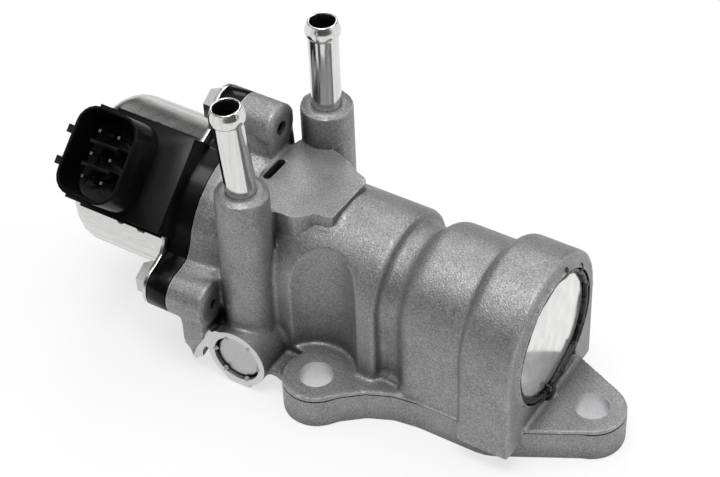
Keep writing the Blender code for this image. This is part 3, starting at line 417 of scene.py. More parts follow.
def turn_profile(profile, steps, place):
    """Sweeps a closed profile of (along, radius) round +X, then moves it by a matrix."""
    shape = bmesh.new()
    columns = []
    for along, radius in profile:
        count = steps if radius > 1e-7 else 1
        turns = [math.tau * i / steps for i in range(count)]
        points = [Vector((along, radius * math.cos(t), radius * math.sin(t))) for t in turns]
        columns.append([shape.verts.new(place @ point) for point in points])
    for first, second in zip(columns, columns[1:] + columns[:1]):
        if len(first) == 1 and len(second) == 1:
            continue
        for j in range(steps):
            k = (j + 1) % steps
            corners = [first[j % len(first)], first[k % len(first)]]
            corners += [second[k % len(second)], second[j % len(second)]]
            shape.faces.new([v for n, v in enumerate(corners) if v not in corners[:n]])
    bmesh.ops.recalc_face_normals(shape, faces=shape.faces)
    return shape


def turned_piece(name, profile, material, steps, place):
    return make_piece(name, turn_profile(profile, steps, place), material)


def rounded(points):
    """Rounds the corners of a profile, whose points are (along, radius, size of the round)."""
    flat = []
    for i, (along, radius, size) in enumerate(points):
        here = Vector((along, radius))
        before = Vector(points[i - 1][:2]) - here
        after = Vector(points[(i + 1) % len(points)][:2]) - here
        reach = min(size, before.length * 0.49, after.length * 0.49)
        if reach < 1e-6:
            flat.append(tuple(here))
            continue
        start, end = here + before.normalized() * reach, here + after.normalized() * reach
        for s in range(CORNER_STEPS + 1):
            t = s / CORNER_STEPS
            flat.append(tuple(start * (1 - t) ** 2 + here * 2 * t * (1 - t) + end * t**2))
    return flat


print("helpers ready")


# %% Solid helpers
def solid_copy(node, name):
    """A copy of a solid with its loose triangles joined up."""
    shape = bmesh.new()
    shape.from_mesh(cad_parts[node].data)
    bmesh.ops.remove_doubles(shape, verts=shape.verts, dist=1e-6)
    mesh = bpy.data.meshes.new(name)
    shape.to_mesh(mesh)
    shape.free()
    return add_object(name, mesh)


def bake_modifiers(piece):
    """Turns a piece with live modifiers into a plain mesh."""
    graph = bpy.context.evaluated_depsgraph_get()
    result = bpy.data.meshes.new_from_object(piece.evaluated_get(graph))
    piece.modifiers.clear()
    piece.data = result


def drop(*things):
    for thing in things:
        bpy.data.objects.remove(thing, do_unlink=True)


def carve(piece, cutter):
    """Cuts one shape out of a piece, and removes the cutter."""
    step = piece.modifiers.new("carve", "BOOLEAN")
    step.operation = "DIFFERENCE"
    step.solver = "MANIFOLD"
    step.object = cutter
    bake_modifiers(piece)
    drop(cutter)
    return piece


def tool(shape):
    """A shape for filling or cutting, which is removed after its use."""
    return make_piece("tool", shape)


def turned_tool(profile, steps, place):
    return tool(turn_profile(profile, steps, place))


def bar_tool(axis, centre, radius, low, high, steps=64):
    """A round bar along a world axis."""
    profile = [(low, 0.0), (low, radius), (high, radius), (high, 0.0)]
    return turned_tool(profile, steps, Matrix.Translation(centre) @ ALONG[axis])


def box_tool(low, high):
    shape = bmesh.new()
    size = [b - a for a, b in zip(low, high)]
    middle = [(a + b) / 2 for a, b in zip(low, high)]
    place = Matrix.Translation(middle) @ Matrix.Diagonal((*size, 1.0))
    bmesh.ops.create_cube(shape, size=1.0, matrix=place)
    return tool(shape)


def loft(shape, rows):
    """Joins rows of as many points each with faces, and closes both ends."""
    for first, second in zip(rows, rows[1:]):
        for i in range(len(first)):
            j = (i + 1) % len(first)
            shape.faces.new((first[i], first[j], second[j], second[i]))
    shape.faces.new(rows[0])
    shape.faces.new(rows[-1])


def flat_prism(outline, low, high):
    """A prism along Z, whose outline is given as (x, y)."""
    shape = bmesh.new()
    loft(shape, [[shape.verts.new((x, y, z)) for x, y in outline] for z in (low, high)])
    bmesh.ops.remove_doubles(shape, verts=shape.verts, dist=1e-7)
    bmesh.ops.recalc_face_normals(shape, faces=shape.faces)
    return tool(shape)


def upright_prism(outline, low, high):
    """A prism along Y, whose outline is given as (x, z)."""
    prism = flat_prism([(x, -z) for x, z in outline], low, high)
    prism.data.transform(Matrix.Rotation(-math.pi / 2, 4, "X"))
    return prism


print("solid helpers ready")

# %% [markdown]
# ## The casting
#
# A casting has no sharp inside corners: metal and mould sand both need a fillet. Rounding every
# edge of a carved solid by hand would take a bevel on each of its Boolean seams. Here the machined
# holes are filled first, the whole is remeshed into small even quads and smoothed, which rounds all
# its edges alike, and the machining is cut afresh. The machined edges then stay crisp, as they do
# on the real part, where the milling comes after the casting.

# %% Fill the machined holes
MOTOR_FACE_X, END_FACE_X = -0.0725, 0.0218
BOLTS = ((-0.0330, -0.0244), (0.0330, 0.0010))
LUG_PITCH_R = 0.0280
LUG_ANGLES = tuple(math.radians(a) for a in (73.5, 193.5, 313.5))
LUG_PLACES = [(LUG_PITCH_R * math.cos(a), AXIS_Z + LUG_PITCH_R * math.sin(a)) for a in LUG_ANGLES]
BOSS_X, BOSS_Y = -0.0555, 0.0196
FLANGE_T = 0.0100
PLUG_BOSS = (-0.0545, -0.0295, 0.0091)
PLUG_BOSS_R = 0.0087
PLUG_X, PLUG_Y, PLUG_Z = PLUG_BOSS
BORE_FILLERS = (  # from, to, radius
    (-0.0735, -0.0682, 0.0149), (-0.0690, -0.0495, 0.0129), (-0.0500, -0.0290, 0.0050),
    (-0.0298, -0.0090, 0.0114), (-0.0095, -0.0036, 0.0147), (-0.0042, 0.0137, 0.0164),
    (0.0130, 0.0228, 0.0187),
)
SLOT_FILLERS = (  # low and high corner, for two ports and the vent slot
    ((0.0022, -0.0123, -0.0008), (0.0133, 0.0123, 0.0200)),
    ((-0.0278, -0.0093, -0.0008), (-0.0122, 0.0093, 0.0320)),
    ((-0.0608, -0.0046, 0.0390), (-0.0580, 0.0046, 0.0499)),
)


def boss_top(side):
    """The rear boss stands a little higher than the front one."""
    return 0.0593 if side > 0 else 0.0587


def axis_bar(radius, low, high, steps=64):
    return bar_tool("X", (0.0, 0.0, AXIS_Z), radius, low, high, steps)


def bolt_bars(radius, low, high):
    return [bar_tool("Z", (x, y, 0.0), radius, low, high) for x, y in BOLTS]


def lug_bars(radius, low, high, steps=64):
    return [bar_tool("X", (0.0, y, z), radius, low, high, steps) for y, z in LUG_PLACES]


def boss_bar(side, radius, low, high):
    return bar_tool("Z", (BOSS_X, side * BOSS_Y, 0.0), radius, low, high)


def plug_bar(radius, low, high):
    return bar_tool("Y", (PLUG_X, 0.0, PLUG_Z), radius, low, high)


def hole_fillers():
    """Bars and boxes, each a little wider than the hole that it fills."""
    fillers = [axis_bar(radius, low, high) for low, high, radius in BORE_FILLERS]
    fillers += bolt_bars(0.0049, -0.0008, 0.0098) + lug_bars(0.0031, -0.0733, -0.0620)
    fillers += [boss_bar(side, 0.0055, 0.0480, boss_top(side) + 0.0006) for side in (-1, 1)]
    fillers.append(plug_bar(0.0073, -0.0303, -0.0060))
    fillers += [box_tool(low, high) for low, high in SLOT_FILLERS]
    return fillers


def merge_into(piece, others):
    """Puts other meshes into this one as they are."""
    shape = bmesh.new()
    shape.from_mesh(piece.data)
    for other in others:
        shape.from_mesh(other.data)
    shape.to_mesh(piece.data)
    shape.free()
    drop(*others)


print("holes to fill:", len(BOLTS), "for bolts,", len(LUG_PLACES), "for screws, two for nipples")

# %% [markdown]
# The solid is made of flat facets, which a glossy finish would show. The same round forms are
# therefore drawn again with many more steps and laid over it: barrel, neck, gas chamber, collar,
# bosses, ears and lugs.

# %% Fine round forms over the facets
BARREL_R, NECK_R, BLOCK_R, COLLAR_R = 0.0189, 0.0168, 0.0192, 0.0224
SHOULDER_X, NECK_X, BLOCK_X, COLLAR_X = -0.0202, -0.0184, -0.0121, 0.0062
SKIRT_FOOT_Z, COLLAR_FOOT_Z = 0.0042, 0.0054
BLOCK_ROUND, COLLAR_ROUND = 0.0018, 0.0021
EAR_R, BOSS_R, LUG_R, SCOOP_R = 0.00895, 0.0070, 0.0064, 0.0113
ARCH_STEPS, ROUND_STEPS = 72, 6


def arch_loft(stations, foot):
    """A solid whose sections are half circles with upright sides: stations are (x, radius)."""
    shape = bmesh.new()
    rows = []
    for x, radius in stations:
        turns = (math.pi * i / ARCH_STEPS for i in range(ARCH_STEPS + 1))
        row = [(x, radius * math.cos(t), AXIS_Z + radius * math.sin(t)) for t in turns]
        rows.append([shape.verts.new(p) for p in row + [(x, -radius, foot), (x, radius, foot)]])
    loft(shape, rows)
    bmesh.ops.recalc_face_normals(shape, faces=shape.faces)
    return tool(shape)


def quarter_round(start, end):
    """Stations that leave the first point along the axis and turn towards the second."""
    (x0, r0), (x1, r1) = start, end
    turns = (math.pi / 2 * i / ROUND_STEPS for i in range(ROUND_STEPS + 1))
    return [(x0 + (x1 - x0) * math.sin(t), r1 + (r0 - r1) * math.cos(t)) for t in turns]


def spine_forms():
    """Barrel, neck and gas chamber in one loft, and the collar in another."""
    shoulder = quarter_round((SHOULDER_X, BARREL_R), (NECK_X, NECK_R))
    edge = quarter_round((BLOCK_X + BLOCK_ROUND, BLOCK_R), (BLOCK_X, BLOCK_R - BLOCK_ROUND))
    collar_start = (COLLAR_X + 0.0002, COLLAR_R - COLLAR_ROUND)
    collar = quarter_round((COLLAR_X + COLLAR_ROUND, COLLAR_R), collar_start)
    stations = [(-0.0480, BARREL_R)] + shoulder + edge[::-1] + [(COLLAR_X + 0.004, BLOCK_R)]
    end_stations = collar[::-1] + [(END_FACE_X - 0.0002, COLLAR_R)]
    return [arch_loft(stations, SKIRT_FOOT_Z), arch_loft(end_stations, COLLAR_FOOT_Z)]


def small_round_forms():
    """Bosses, ears and lugs, a hair thinner than their facets' corners."""
    forms = [axis_bar(BARREL_R, -0.0660, -0.0470, 128)] + bolt_bars(EAR_R, 0.0001, FLANGE_T)
    forms += [boss_bar(-1, BOSS_R, PLUG_Z, boss_top(-1)), boss_bar(1, BOSS_R, 0.0200, boss_top(1))]
    forms.append(plug_bar(PLUG_BOSS_R, PLUG_Y, -0.0050))
    return forms + lug_bars(LUG_R, MOTOR_FACE_X, -0.0624)


spine, small_forms = spine_forms(), small_round_forms()
print("round forms:", len(spine), "along the axis and", len(small_forms), "small ones")

# %% [markdown]
# Three hollows are cut alike in the copy of the solid and in the fine forms along the axis. The
# scoop makes room for the bolt's head. The neck is a deep groove, steep at the barrel and widely
# rounded at the gas chamber. The collar's left edge is rounded further than the solid has it.

# %% Scoop, neck and collar edge
NECK_GROOVE = (
    (-0.0194, 0.0193), (-0.0190, 0.0187), (-0.0187, 0.0172), (-0.0183, 0.0162),
    (-0.0176, 0.0158), (-0.0142, 0.0158), (-0.0130, 0.0162), (-0.0121, 0.0171),
    (-0.0112, 0.0181), (-0.0101, 0.0188), (-0.0086, 0.0192), (-0.0080, 0.0196),
)
COLLAR_EDGE = (
    (COLLAR_X - 0.0004, 0.0194), (COLLAR_X + 0.0002, 0.0198), (COLLAR_X + 0.0006, 0.0207),
    (COLLAR_X + 0.0013, 0.0216), (COLLAR_X + 0.0023, 0.0222), (COLLAR_X + 0.0036, 0.0226),
)


def groove_cutter(stations, outer_r):
    """An arch with this outer radius, hollow down to the stations."""
    ends = [(station[0], outer_r) for station in (stations[0], stations[-1])]
    return carve(arch_loft(ends, FLANGE_T + 0.0012), arch_loft(stations, FLANGE_T - 0.0050))


def shaped(piece):
    """The scoop, the neck and the collar's edge, cut in a piece of the casting."""
    x, y = BOLTS[0]
    scoop = bar_tool("Z", (x - 0.0008, y, 0.0), SCOOP_R, FLANGE_T, 0.0700, 96)
    for cutter in (scoop, groove_cutter(NECK_GROOVE, 0.0260), groove_cutter(COLLAR_EDGE, 0.0280)):
        carve(piece, cutter)
    return piece


casting = shaped(solid_copy("valve_body", "casting"))
forms = [shaped(form) for form in spine] + small_forms
print("casting shaped:", len(casting.data.polygons), "faces")

# %% [markdown]
# The top pad has a wavy edge that runs from one nipple boss to the other. Webs are added where the
# photograph shows more metal than the solid has: beside two lugs, and at the plugged boss.

# %% Pad and webs
PAD_TOP_Z = AXIS_Z + BARREL_R + 0.0011
PAD_MIDDLE = Vector((-0.0480, 0.0010))
PAD_EDGE = (
    (-0.0511, 0.0175), (-0.0511, 0.0146), (-0.0500, 0.0140), (-0.0476, 0.0134),
    (-0.0441, 0.0117), (-0.0400, 0.0095), (-0.0377, 0.0087), (-0.0367, 0.0079),
    (-0.0361, 0.0063), (-0.0362, 0.0019), (-0.0361, -0.0029), (-0.0363, -0.0059),
    (-0.0361, -0.0076), (-0.0363, -0.0087), (-0.0383, -0.0094), (-0.0398, -0.0093),
    (-0.0412, -0.0098), (-0.0424, -0.0112), (-0.0435, -0.0123), (-0.0449, -0.0134),
    (-0.0465, -0.0136), (-0.0483, -0.0136), (-0.0502, -0.0139), (-0.0510, -0.0165),
)
TAIL_WEB = (
    (-0.0690, 0.0030), (-0.0676, 0.0074), (-0.0650, 0.0114), (-0.0607, 0.0164), (-0.0585, 0.0164),
    (-0.0585, 0.0090), (-0.0626, 0.0090), (-0.0642, 0.0093), (-0.0652, 0.0073), (-0.0674, 0.0027),
)
TOP_WEB = (
    (0.0142, 0.0570), (0.0147, 0.0480), (0.0150, 0.0400), (-0.0020, 0.0400),
    (-0.0020, 0.0480), (0.0025, 0.0515), (0.0060, 0.0555),
)


def pad_edge(grow):
    """The top pad's edge from one boss to the other, moved outwards by this much."""
    edge = []
    for x, y in PAD_EDGE:
        outward = (Vector((x, y)) - PAD_MIDDLE).normalized()
        edge.append((x + outward.x * grow, y + outward.y * grow))
    return edge


def lug_block():
    """The thick web that joins the front lug to the boss beside it."""
    y, z = LUG_PLACES[1]
    return box_tool((-0.0690, y - 0.0050, 0.0120), (-0.0628, y + 0.0080, z + 0.0010))


def top_lug_web():
    """The metal between the top lug and the barrel, whose outline is given as (y, z)."""
    web = flat_prism(TOP_WEB, -0.0690, -0.0627)
    web.data.transform(Matrix(((0, 0, 1, 0), (1, 0, 0, 0), (0, 1, 0, 0), (0, 0, 0, 1))))
    return web


forms += [lug_block(), top_lug_web(), upright_prism(TAIL_WEB, -0.0304, -0.0262)]
forms.append(flat_prism(pad_edge(0.0008), 0.0400, PAD_TOP_Z))
merge_into(casting, forms + hole_fillers())
print("filled mesh:", len(casting.data.polygons), "faces")


# %% [markdown]
# Smoothing pulls every open edge inwards, also the rims of faces that are milled later. So the
# milled faces are first carried outwards by a copy of their outline, and then cut back flat.

# %% Carry the milled faces outwards
SLAB_T = 0.0015
PLUG_SLAB_HALF = 0.0012


def slab_beyond(piece, at, normal, thickness):
    """The layer of a solid next to a flat face, moved outwards past that face."""
    shape = bmesh.new()
    shape.from_mesh(piece.data)
    normal = Vector(normal)
    cut_at = Vector(at) - normal * thickness
    every = shape.verts[:] + shape.edges[:] + shape.faces[:]
    bmesh.ops.bisect_plane(shape, geom=every, plane_co=cut_at, plane_no=normal, clear_inner=True)
    rim = [e for e in shape.edges if e.is_boundary]
    bmesh.ops.holes_fill(shape, edges=rim)
    bmesh.ops.translate(shape, verts=shape.verts, vec=normal * (thickness * 0.8))
    return tool(shape)


bare = solid_copy("valve_body", "bare")
slabs = [
    slab_beyond(bare, (0.0, 0.0, 0.0), (0.0, 0.0, -1.0), SLAB_T),
    slab_beyond(bare, (MOTOR_FACE_X, 0.0, 0.0), (-1.0, 0.0, 0.0), SLAB_T),
    plug_bar(PLUG_BOSS_R, PLUG_Y - PLUG_SLAB_HALF, PLUG_Y + PLUG_SLAB_HALF),
]
drop(bare)
print("slabs:", [len(s.data.polygons) for s in slabs])

# %% Remesh and smooth
VOXEL = 0.00052
SMOOTH_ROUNDS = 4
merge_into(casting, slabs)
remesh = casting.modifiers.new("even_quads", "REMESH")
remesh.mode = "VOXEL"
remesh.voxel_size = VOXEL
bake_modifiers(casting)
soften = casting.modifiers.new("soften", "SMOOTH")
soften.factor = 0.5
soften.iterations = SMOOTH_ROUNDS
bake_modifiers(casting)
print("remeshed casting:", len(casting.data.polygons), "quads")

# %% [markdown]
# The machining follows in the order of a workshop: milled faces first, then the stepped valve bore,
# ports and holes, and last the fine edges of flange and pad. Each cut is one plain shape.

# %% Shapes of the cuts
BOLT_HOLE_R, LUG_HOLE_R, NIPPLE_HOLE_R = 0.0045, 0.0028, 0.00405
TIP_HOLE_R = (0.0020, 0.0014, 0.0014)
BOSS_CUT_R = 0.00706
OUT = 0.003
VALVE_BORE = (
    (MOTOR_FACE_X - OUT, 0.0), (MOTOR_FACE_X - OUT, 0.0145), (-0.0685, 0.0145),
    (-0.0685, 0.0125), (-0.0500, 0.0125), (-0.0500, 0.0046), (-0.0295, 0.0046),
    (-0.0295, 0.0110), (-0.0093, 0.0110), (-0.0093, 0.0143), (-0.0040, 0.0143),
    (-0.0040, 0.0160), (0.0133, 0.0160), (0.0133, 0.0183), (END_FACE_X + OUT, 0.0183),
    (END_FACE_X + OUT, 0.0),
)
PLUG_HOLE = (
    (-0.003, 0.0), (-0.003, 0.0069), (0.0050, 0.0069), (0.0050, 0.0050), (0.0230, 0.0050),
    (0.0230, 0.0),
)
NIPPLE_HOLE = ((-0.0095, 0.0), (-0.0095, NIPPLE_HOLE_R), (0.004, NIPPLE_HOLE_R), (0.004, 0.0))
SLOTS = (  # low corner, high corner, round of the upright edges
    ((0.0025, -0.0120, -0.003), (0.0130, 0.0120, 0.0280), 0.0035),
    ((-0.0275, -0.0090, -0.003), (-0.0125, 0.0090, 0.0300), 0.0035),
    ((-0.0606, -0.0043, 0.0390), (-0.0582, 0.0043, 0.0560), 0.0011),
)
TAIL_CUT = (
    (-0.0690, 0.0020), (-0.0688, 0.0032), (-0.0673, 0.0072), (-0.0648, 0.0111),
    (-0.0607, 0.0158), (-0.0580, 0.0160), (-0.0580, 0.0020),
)


def rounded_box_cutter(low, high, corner):
    """An upright cutter with round corners in plan."""
    box = box_tool(low, high)
    shape = bmesh.new()
    shape.from_mesh(box.data)
    upright = [e for e in shape.edges if abs(e.verts[0].co.z - e.verts[1].co.z) > 1e-4]
    bmesh.ops.bevel(
        shape, geom=upright, offset=corner, segments=6, affect="EDGES", profile=0.5
    )
    shape.to_mesh(box.data)
    shape.free()
    return box


def nipple_axis(side):
    """Direction of a nipple: the front one leans away from the flange."""
    if side > 0:
        return Matrix.Identity(4)
    to_motor, to_front = math.radians(-3.7), math.radians(2.2)
    return Matrix.Rotation(to_motor, 4, "Y") @ Matrix.Rotation(to_front, 4, "X")


def nipple_place(side):
    """Moves a piece turned round +X to its boss, standing on the boss's top."""
    foot = Matrix.Translation((BOSS_X, side * BOSS_Y, boss_top(side)))
    return foot @ nipple_axis(side) @ ALONG["Z"]


def ear_outline(grow):
    """The front ear and the flange's front edge, moved outwards by this much."""
    (ax, ay), (bx, by) = BOLTS
    ear, front, rear, bulge, hollow = 0.0090, -0.0197, 0.0202, 0.0110, 0.0250
    circles = [(ax, ay, ear + grow), (-0.0055, front - hollow, -(hollow - grow))]
    circles += [(0.0110, front + bulge, bulge + grow), (bx, by, ear + grow)]
    circles += [(0.0090, rear - bulge, bulge + grow), (-0.0170, rear - bulge, bulge + grow)]
    normals = []
    for (x0, y0, r0), (x1, y1, r1) in zip(circles, circles[1:] + circles[:1]):
        span = Vector((x1 - x0, y1 - y0))
        normals.append(math.atan2(span.y, span.x) - math.acos((r0 - r1) / span.length))
    points = []
    for i, (x, y, r) in enumerate(circles):
        turn = (normals[i] - normals[i - 1]) % math.tau
        turn -= math.tau if r < 0 else 0.0
        for k in range(25):
            t = normals[i - 1] + turn * k / 24
            points.append((x + r * math.cos(t), y + r * math.sin(t)))
    return points


def lip_cutter():
    """The fine step under the flange's top edge, on the sides that stand free."""
    low, high, depth = 0.0086, 0.0091, 0.0004
    groove = flat_prism(ear_outline(0.0012), low, high)
    carve(groove, flat_prism(ear_outline(-depth), low - 0.001, high + 0.001))
    return carve(groove, box_tool((-0.0700, -0.0193, 0.0), (END_FACE_X + 0.0002, 0.0300, 0.0200)))


def pad_cutter():
    """Cuts the smoothed pad back to its edge, to just above the barrel and beside the bosses."""
    beyond = [(-0.0470, 0.0240) if y > 0.0130 else (x, y) for x, y in pad_edge(0.0028)]
    band = flat_prism(pad_edge(0.0) + beyond[::-1], 0.0385, PAD_TOP_Z + 0.0030)
    carve(band, axis_bar(BARREL_R + 0.00015, -0.0700, -0.0200, 128))
    for side in (-1, 1):
        carve(band, boss_bar(side, BOSS_CUT_R, 0.0300, 0.0600))
    return band


def boss_foot_cutter(side):
    """Leaves a crisp corner between a boss and the pad's top."""
    low, high = PAD_TOP_Z + 0.00005, PAD_TOP_Z + 0.0060
    profile = [(low, BOSS_CUT_R), (low, 0.0082), (high, 0.0082), (high, BOSS_CUT_R)]
    return turned_tool(profile, 64, Matrix.Translation((BOSS_X, side * BOSS_Y, 0.0)) @ ALONG["Z"])


def tail_cutter():
    """Mills the web beside the plugged boss, and slopes the cast tail away from it."""
    cutter = upright_prism(TAIL_CUT, PLUG_Y - 0.0060, PLUG_Y)
    for vertex in cutter.data.vertices:
        if vertex.co.y < PLUG_Y - 0.0030 and vertex.co.x < -0.0600:
            vertex.co.x -= 0.0080
    return cutter


print("shapes of the cuts ready")


# %% Cut the machining
def machining_cutters():
    wide, deep = 0.4, 0.01
    cutters = [
        box_tool((-wide, -wide, -deep), (wide, wide, 0.0)),
        box_tool((MOTOR_FACE_X - deep, -wide, -wide), (MOTOR_FACE_X, wide, wide)),
        plug_bar(0.0105, PLUG_Y - 0.008, PLUG_Y),
        tail_cutter(),
        turned_tool(VALVE_BORE, 96, ON_AXIS),
    ]
    cutters += [rounded_box_cutter(low, high, corner) for low, high, corner in SLOTS]
    cutters += bolt_bars(BOLT_HOLE_R, -0.003, 0.0400)
    cutters += lug_bars(LUG_HOLE_R, -0.0760, -0.0635, 32)
    for radius, (y, z) in zip(TIP_HOLE_R, LUG_PLACES):
        cutters.append(bar_tool("X", (0.0, y, z), radius, -0.0640, -0.0580, 24))
    cutters.append(turned_tool(PLUG_HOLE, 64, Matrix.Translation(PLUG_BOSS) @ ALONG["Y"]))
    cutters += [lip_cutter(), pad_cutter(), boss_foot_cutter(-1), boss_foot_cutter(1)]
    cutters += [turned_tool(NIPPLE_HOLE, 48, nipple_place(side)) for side in (-1, 1)]
    return cutters


for cutter in machining_cutters():
    carve(casting, cutter)
print("machined casting:", sum(len(p.vertices) - 2 for p in casting.data.polygons), "triangles")


# %% Give cast and machined faces their finishes
def near(value, target, slack=0.00004):
    return abs(value - target) < slack


def machined_face(face, where):
    """True for the flat faces that a mill or lathe leaves."""
    if face.normal.z < -0.98 and near(where.z, 0.0):
        return True
    if face.normal.x < -0.98 and near(where.x, MOTOR_FACE_X):
        return True
    if face.normal.y < -0.98 and near(where.y, PLUG_Y):
        return True
    flat = Vector((where.x, where.y))
    in_hole = any(near((flat - Vector(bolt)).length, BOLT_HOLE_R, 0.00006) for bolt in BOLTS)
    return in_hole and abs(face.normal.z) < 0.2 and where.z < FLANGE_T + 0.0005


casting.data.materials.clear()
casting.data.materials.append(cast_aluminium)
casting.data.materials.append(milled_aluminium)
for face in casting.data.polygons:
    face.material_index = 1 if machined_face(face, face.center) else 0
shade_smooth(casting, 40)
stand_for(casting, "valve_body")
print("machined faces:", sum(p.material_index for p in casting.data.polygons))

# %% [markdown]
# ## Coolant nipples
#
# The nipples are plated tubes with a bead that keeps the hose on. Each is one turned profile whose
# corners are rounded, so that it catches a thin highlight at its mouth.

# %% Nipples
def nipple_outline():
    bore, wall_r, top = 0.0031, 0.0040, 0.0265
    bead = top - 0.0042
    return rounded([
        (-0.0086, bore, 0.0), (-0.0086, wall_r, 0.0003), (bead - 0.0001, wall_r, 0.0003),
        (bead + 0.0004, 0.0046, 0.0003), (bead + 0.0013, 0.0047, 0.0005),
        (bead + 0.0022, 0.0045, 0.0006), (top - 0.0006, 0.0040, 0.0006), (top, 0.0038, 0.0003),
        (top, bore + 0.0002, 0.0003), (top - 0.0010, bore, 0.0003),
    ])


for name, side, node in (
    ("front_nipple", -1, "coolant_nipple_front"), ("rear_nipple", 1, "coolant_nipple_rear"),
):
    nipple = turned_piece(name, nipple_outline(), bright_plating, 64, nipple_place(side))
    stand_for(nipple, node)
print("nipples made")

# %% [markdown]
# ## Plugs
#
# Two pressed cups close cored holes. The large one closes the gas chamber, and sealant is run round
# it. The small one is staked: a punch pushes metal of the boss over the cup at six places.

# %% Cups
def cup_outline(radius, skirt, wall, edge):
    """A cup seen from its closed face at 0, with its skirt running inwards to -skirt."""
    return rounded([
        (0.0, 0.0, 0.0), (0.0, radius - edge, edge * 0.6), (-edge, radius, edge * 0.6),
        (-skirt, radius, 0.0), (-skirt, radius - wall, 0.0), (-wall, radius - wall, 0.0006),
        (-wall, 0.0, 0.0),
    ])


end_outline = cup_outline(0.0180, 0.0060, 0.0012, 0.0014)
end_place = Matrix.Translation((END_FACE_X - 0.0004, 0.0, AXIS_Z))
end_cup = turned_piece("end_cup", end_outline, pressed_cup, 128, end_place)
stand_for(end_cup, "end_plug")
core_outline = cup_outline(0.0066, 0.0038, 0.0010, 0.0006)
core_face = Matrix.Translation((PLUG_X, PLUG_Y + 0.0009, PLUG_Z))
core_place = core_face @ Matrix.Rotation(-math.pi / 2, 4, "Z")
core_cup = turned_piece("core_cup", core_outline, dull_plating, 96, core_place)
stand_for(core_cup, "coolant_core_plug")
print("cups made")

# %% Sealant
BEAD_SIDES = 10
RING_STEPS, OVERLAP_STEPS, LUMP_STEPS = 240, 48, 12
RING_R = 0.0181
SEALANT_LUMPS = (  # middle and spread in degrees, radius, half width
    (-98, 7, 0.0164, 0.0013), (-93, 15, 0.0189, 0.0023), (-106, 12, 0.0181, 0.0014),
    (-53, 5, 0.0187, 0.0016), (-47, 6, 0.0172, 0.0012), (-72, 9, 0.0181, 0.0011),
    (-25, 8, 0.0180, 0.0010), (12, 9, 0.0181, 0.0010), (43, 6, 0.0181, 0.0013),
    (74, 8, 0.0181, 0.0013), (120, 10, 0.0179, 0.0010), (165, 8, 0.0179, 0.0009),
    (215, 9, 0.0179, 0.0011),
)


def bead(shape, path):
    """Rows of points round a path of (angle, radius, x, half width, half height)."""
    turns = [math.tau * k / BEAD_SIDES for k in range(BEAD_SIDES)]
    rows = []
    for angle, radius, x, half_width, half_height in path:
        row = []
        for t in turns:
            r = radius + half_width * math.cos(t)
            spot = (x + half_height * math.sin(t), r * math.cos(angle), AXIS_Z + r * math.sin(angle))
            row.append(shape.verts.new(spot))
        rows.append(row)
    return rows


def skin(shape, rows):
    """Joins each row to the next one, and the last one to the first."""
    for a, b in zip(rows, rows[1:] + rows[:1]):
        for k in range(len(a)):
            j = (k + 1) % len(a)
            shape.faces.new((a[k], a[j], b[j], b[k]))


def ring_path():
    """A bead that was run by hand, so that its width wanders."""
    path = []
    for i in range(RING_STEPS):
        angle = math.tau * i / RING_STEPS
        spot = Vector((math.cos(angle), math.sin(angle), 0.0))
        wander = noise.noise(spot * 2.3 + Vector((4.0, 1.0, 0.0)))
        ripple = noise.noise(spot * 9.0)
        half_width = 0.00074 + 0.00034 * wander + 0.00028 * ripple
        half_height = 0.00075 + 0.00025 * wander
        path.append((angle, RING_R - half_width, END_FACE_X - 0.0001, half_width, half_height))
    return path


def overlap_path():
    """The second strand, where the end of the run lies beside its start."""
    path = []
    first, last = math.radians(-92), math.radians(-44)
    for i in range(OVERLAP_STEPS + 1):
        share = i / OVERLAP_STEPS
        bow = math.sin(math.pi * share)
        ripple = noise.noise(Vector((share * 14, 0.0, 3.0)))
        thin = 0.00028 + 0.00042 * min(1.0, 4 * bow) + 0.0001 * ripple
        angle = first + (last - first) * share
        path.append((angle, 0.0169 - 0.0011 * bow, END_FACE_X + 0.0001, thin, thin * 0.8))
    return path


def lump_path(middle, spread, radius, half_width):
    """A lump that is widest in its middle and thin at both ends."""
    path = []
    for i in range(LUMP_STEPS + 1):
        share = i / LUMP_STEPS
        bow = math.sqrt(max(0.0, 1 - (2 * share - 1) ** 2))
        angle = math.radians(middle + spread * (share - 0.5))
        wide, high = 0.0001 + half_width * bow, 0.0001 + 0.6 * half_width * bow
        path.append((angle, radius, END_FACE_X + 0.0001, wide, high))
    return path


sealant = bmesh.new()
skin(sealant, bead(sealant, ring_path()))
loft(sealant, bead(sealant, overlap_path()))
for lump in SEALANT_LUMPS:
    loft(sealant, bead(sealant, lump_path(*lump)))
bmesh.ops.recalc_face_normals(sealant, faces=sealant.faces)
sealant_bead = make_piece("sealant_bead", sealant, black_sealant, sharp=80)
stand_for(sealant_bead, "end_sealant")
print("sealant made with", len(SEALANT_LUMPS), "lumps")

# %% [markdown]
# ## Motor
#
# The can is drawn from sheet steel, so it has a large round at its closed end and a flat rim that
# the screws clamp. The window for the connector block is cut from its side, and black compound that
# seals this window was squeezed out along it as small lumps.

# %% Can and housing
PLUG_TURN = math.radians(132.5) - math.pi / 2
CONNECTOR = ON_AXIS @ Matrix.Rotation(PLUG_TURN, 4, "X")
WINDOW_FROM_X, WINDOW_TO_X, WINDOW_HALF = -0.1062, -0.0830, 0.01315
CAN_R = 0.02105
COMPOUND_STEPS, COMPOUND_SIDES = 90, 8


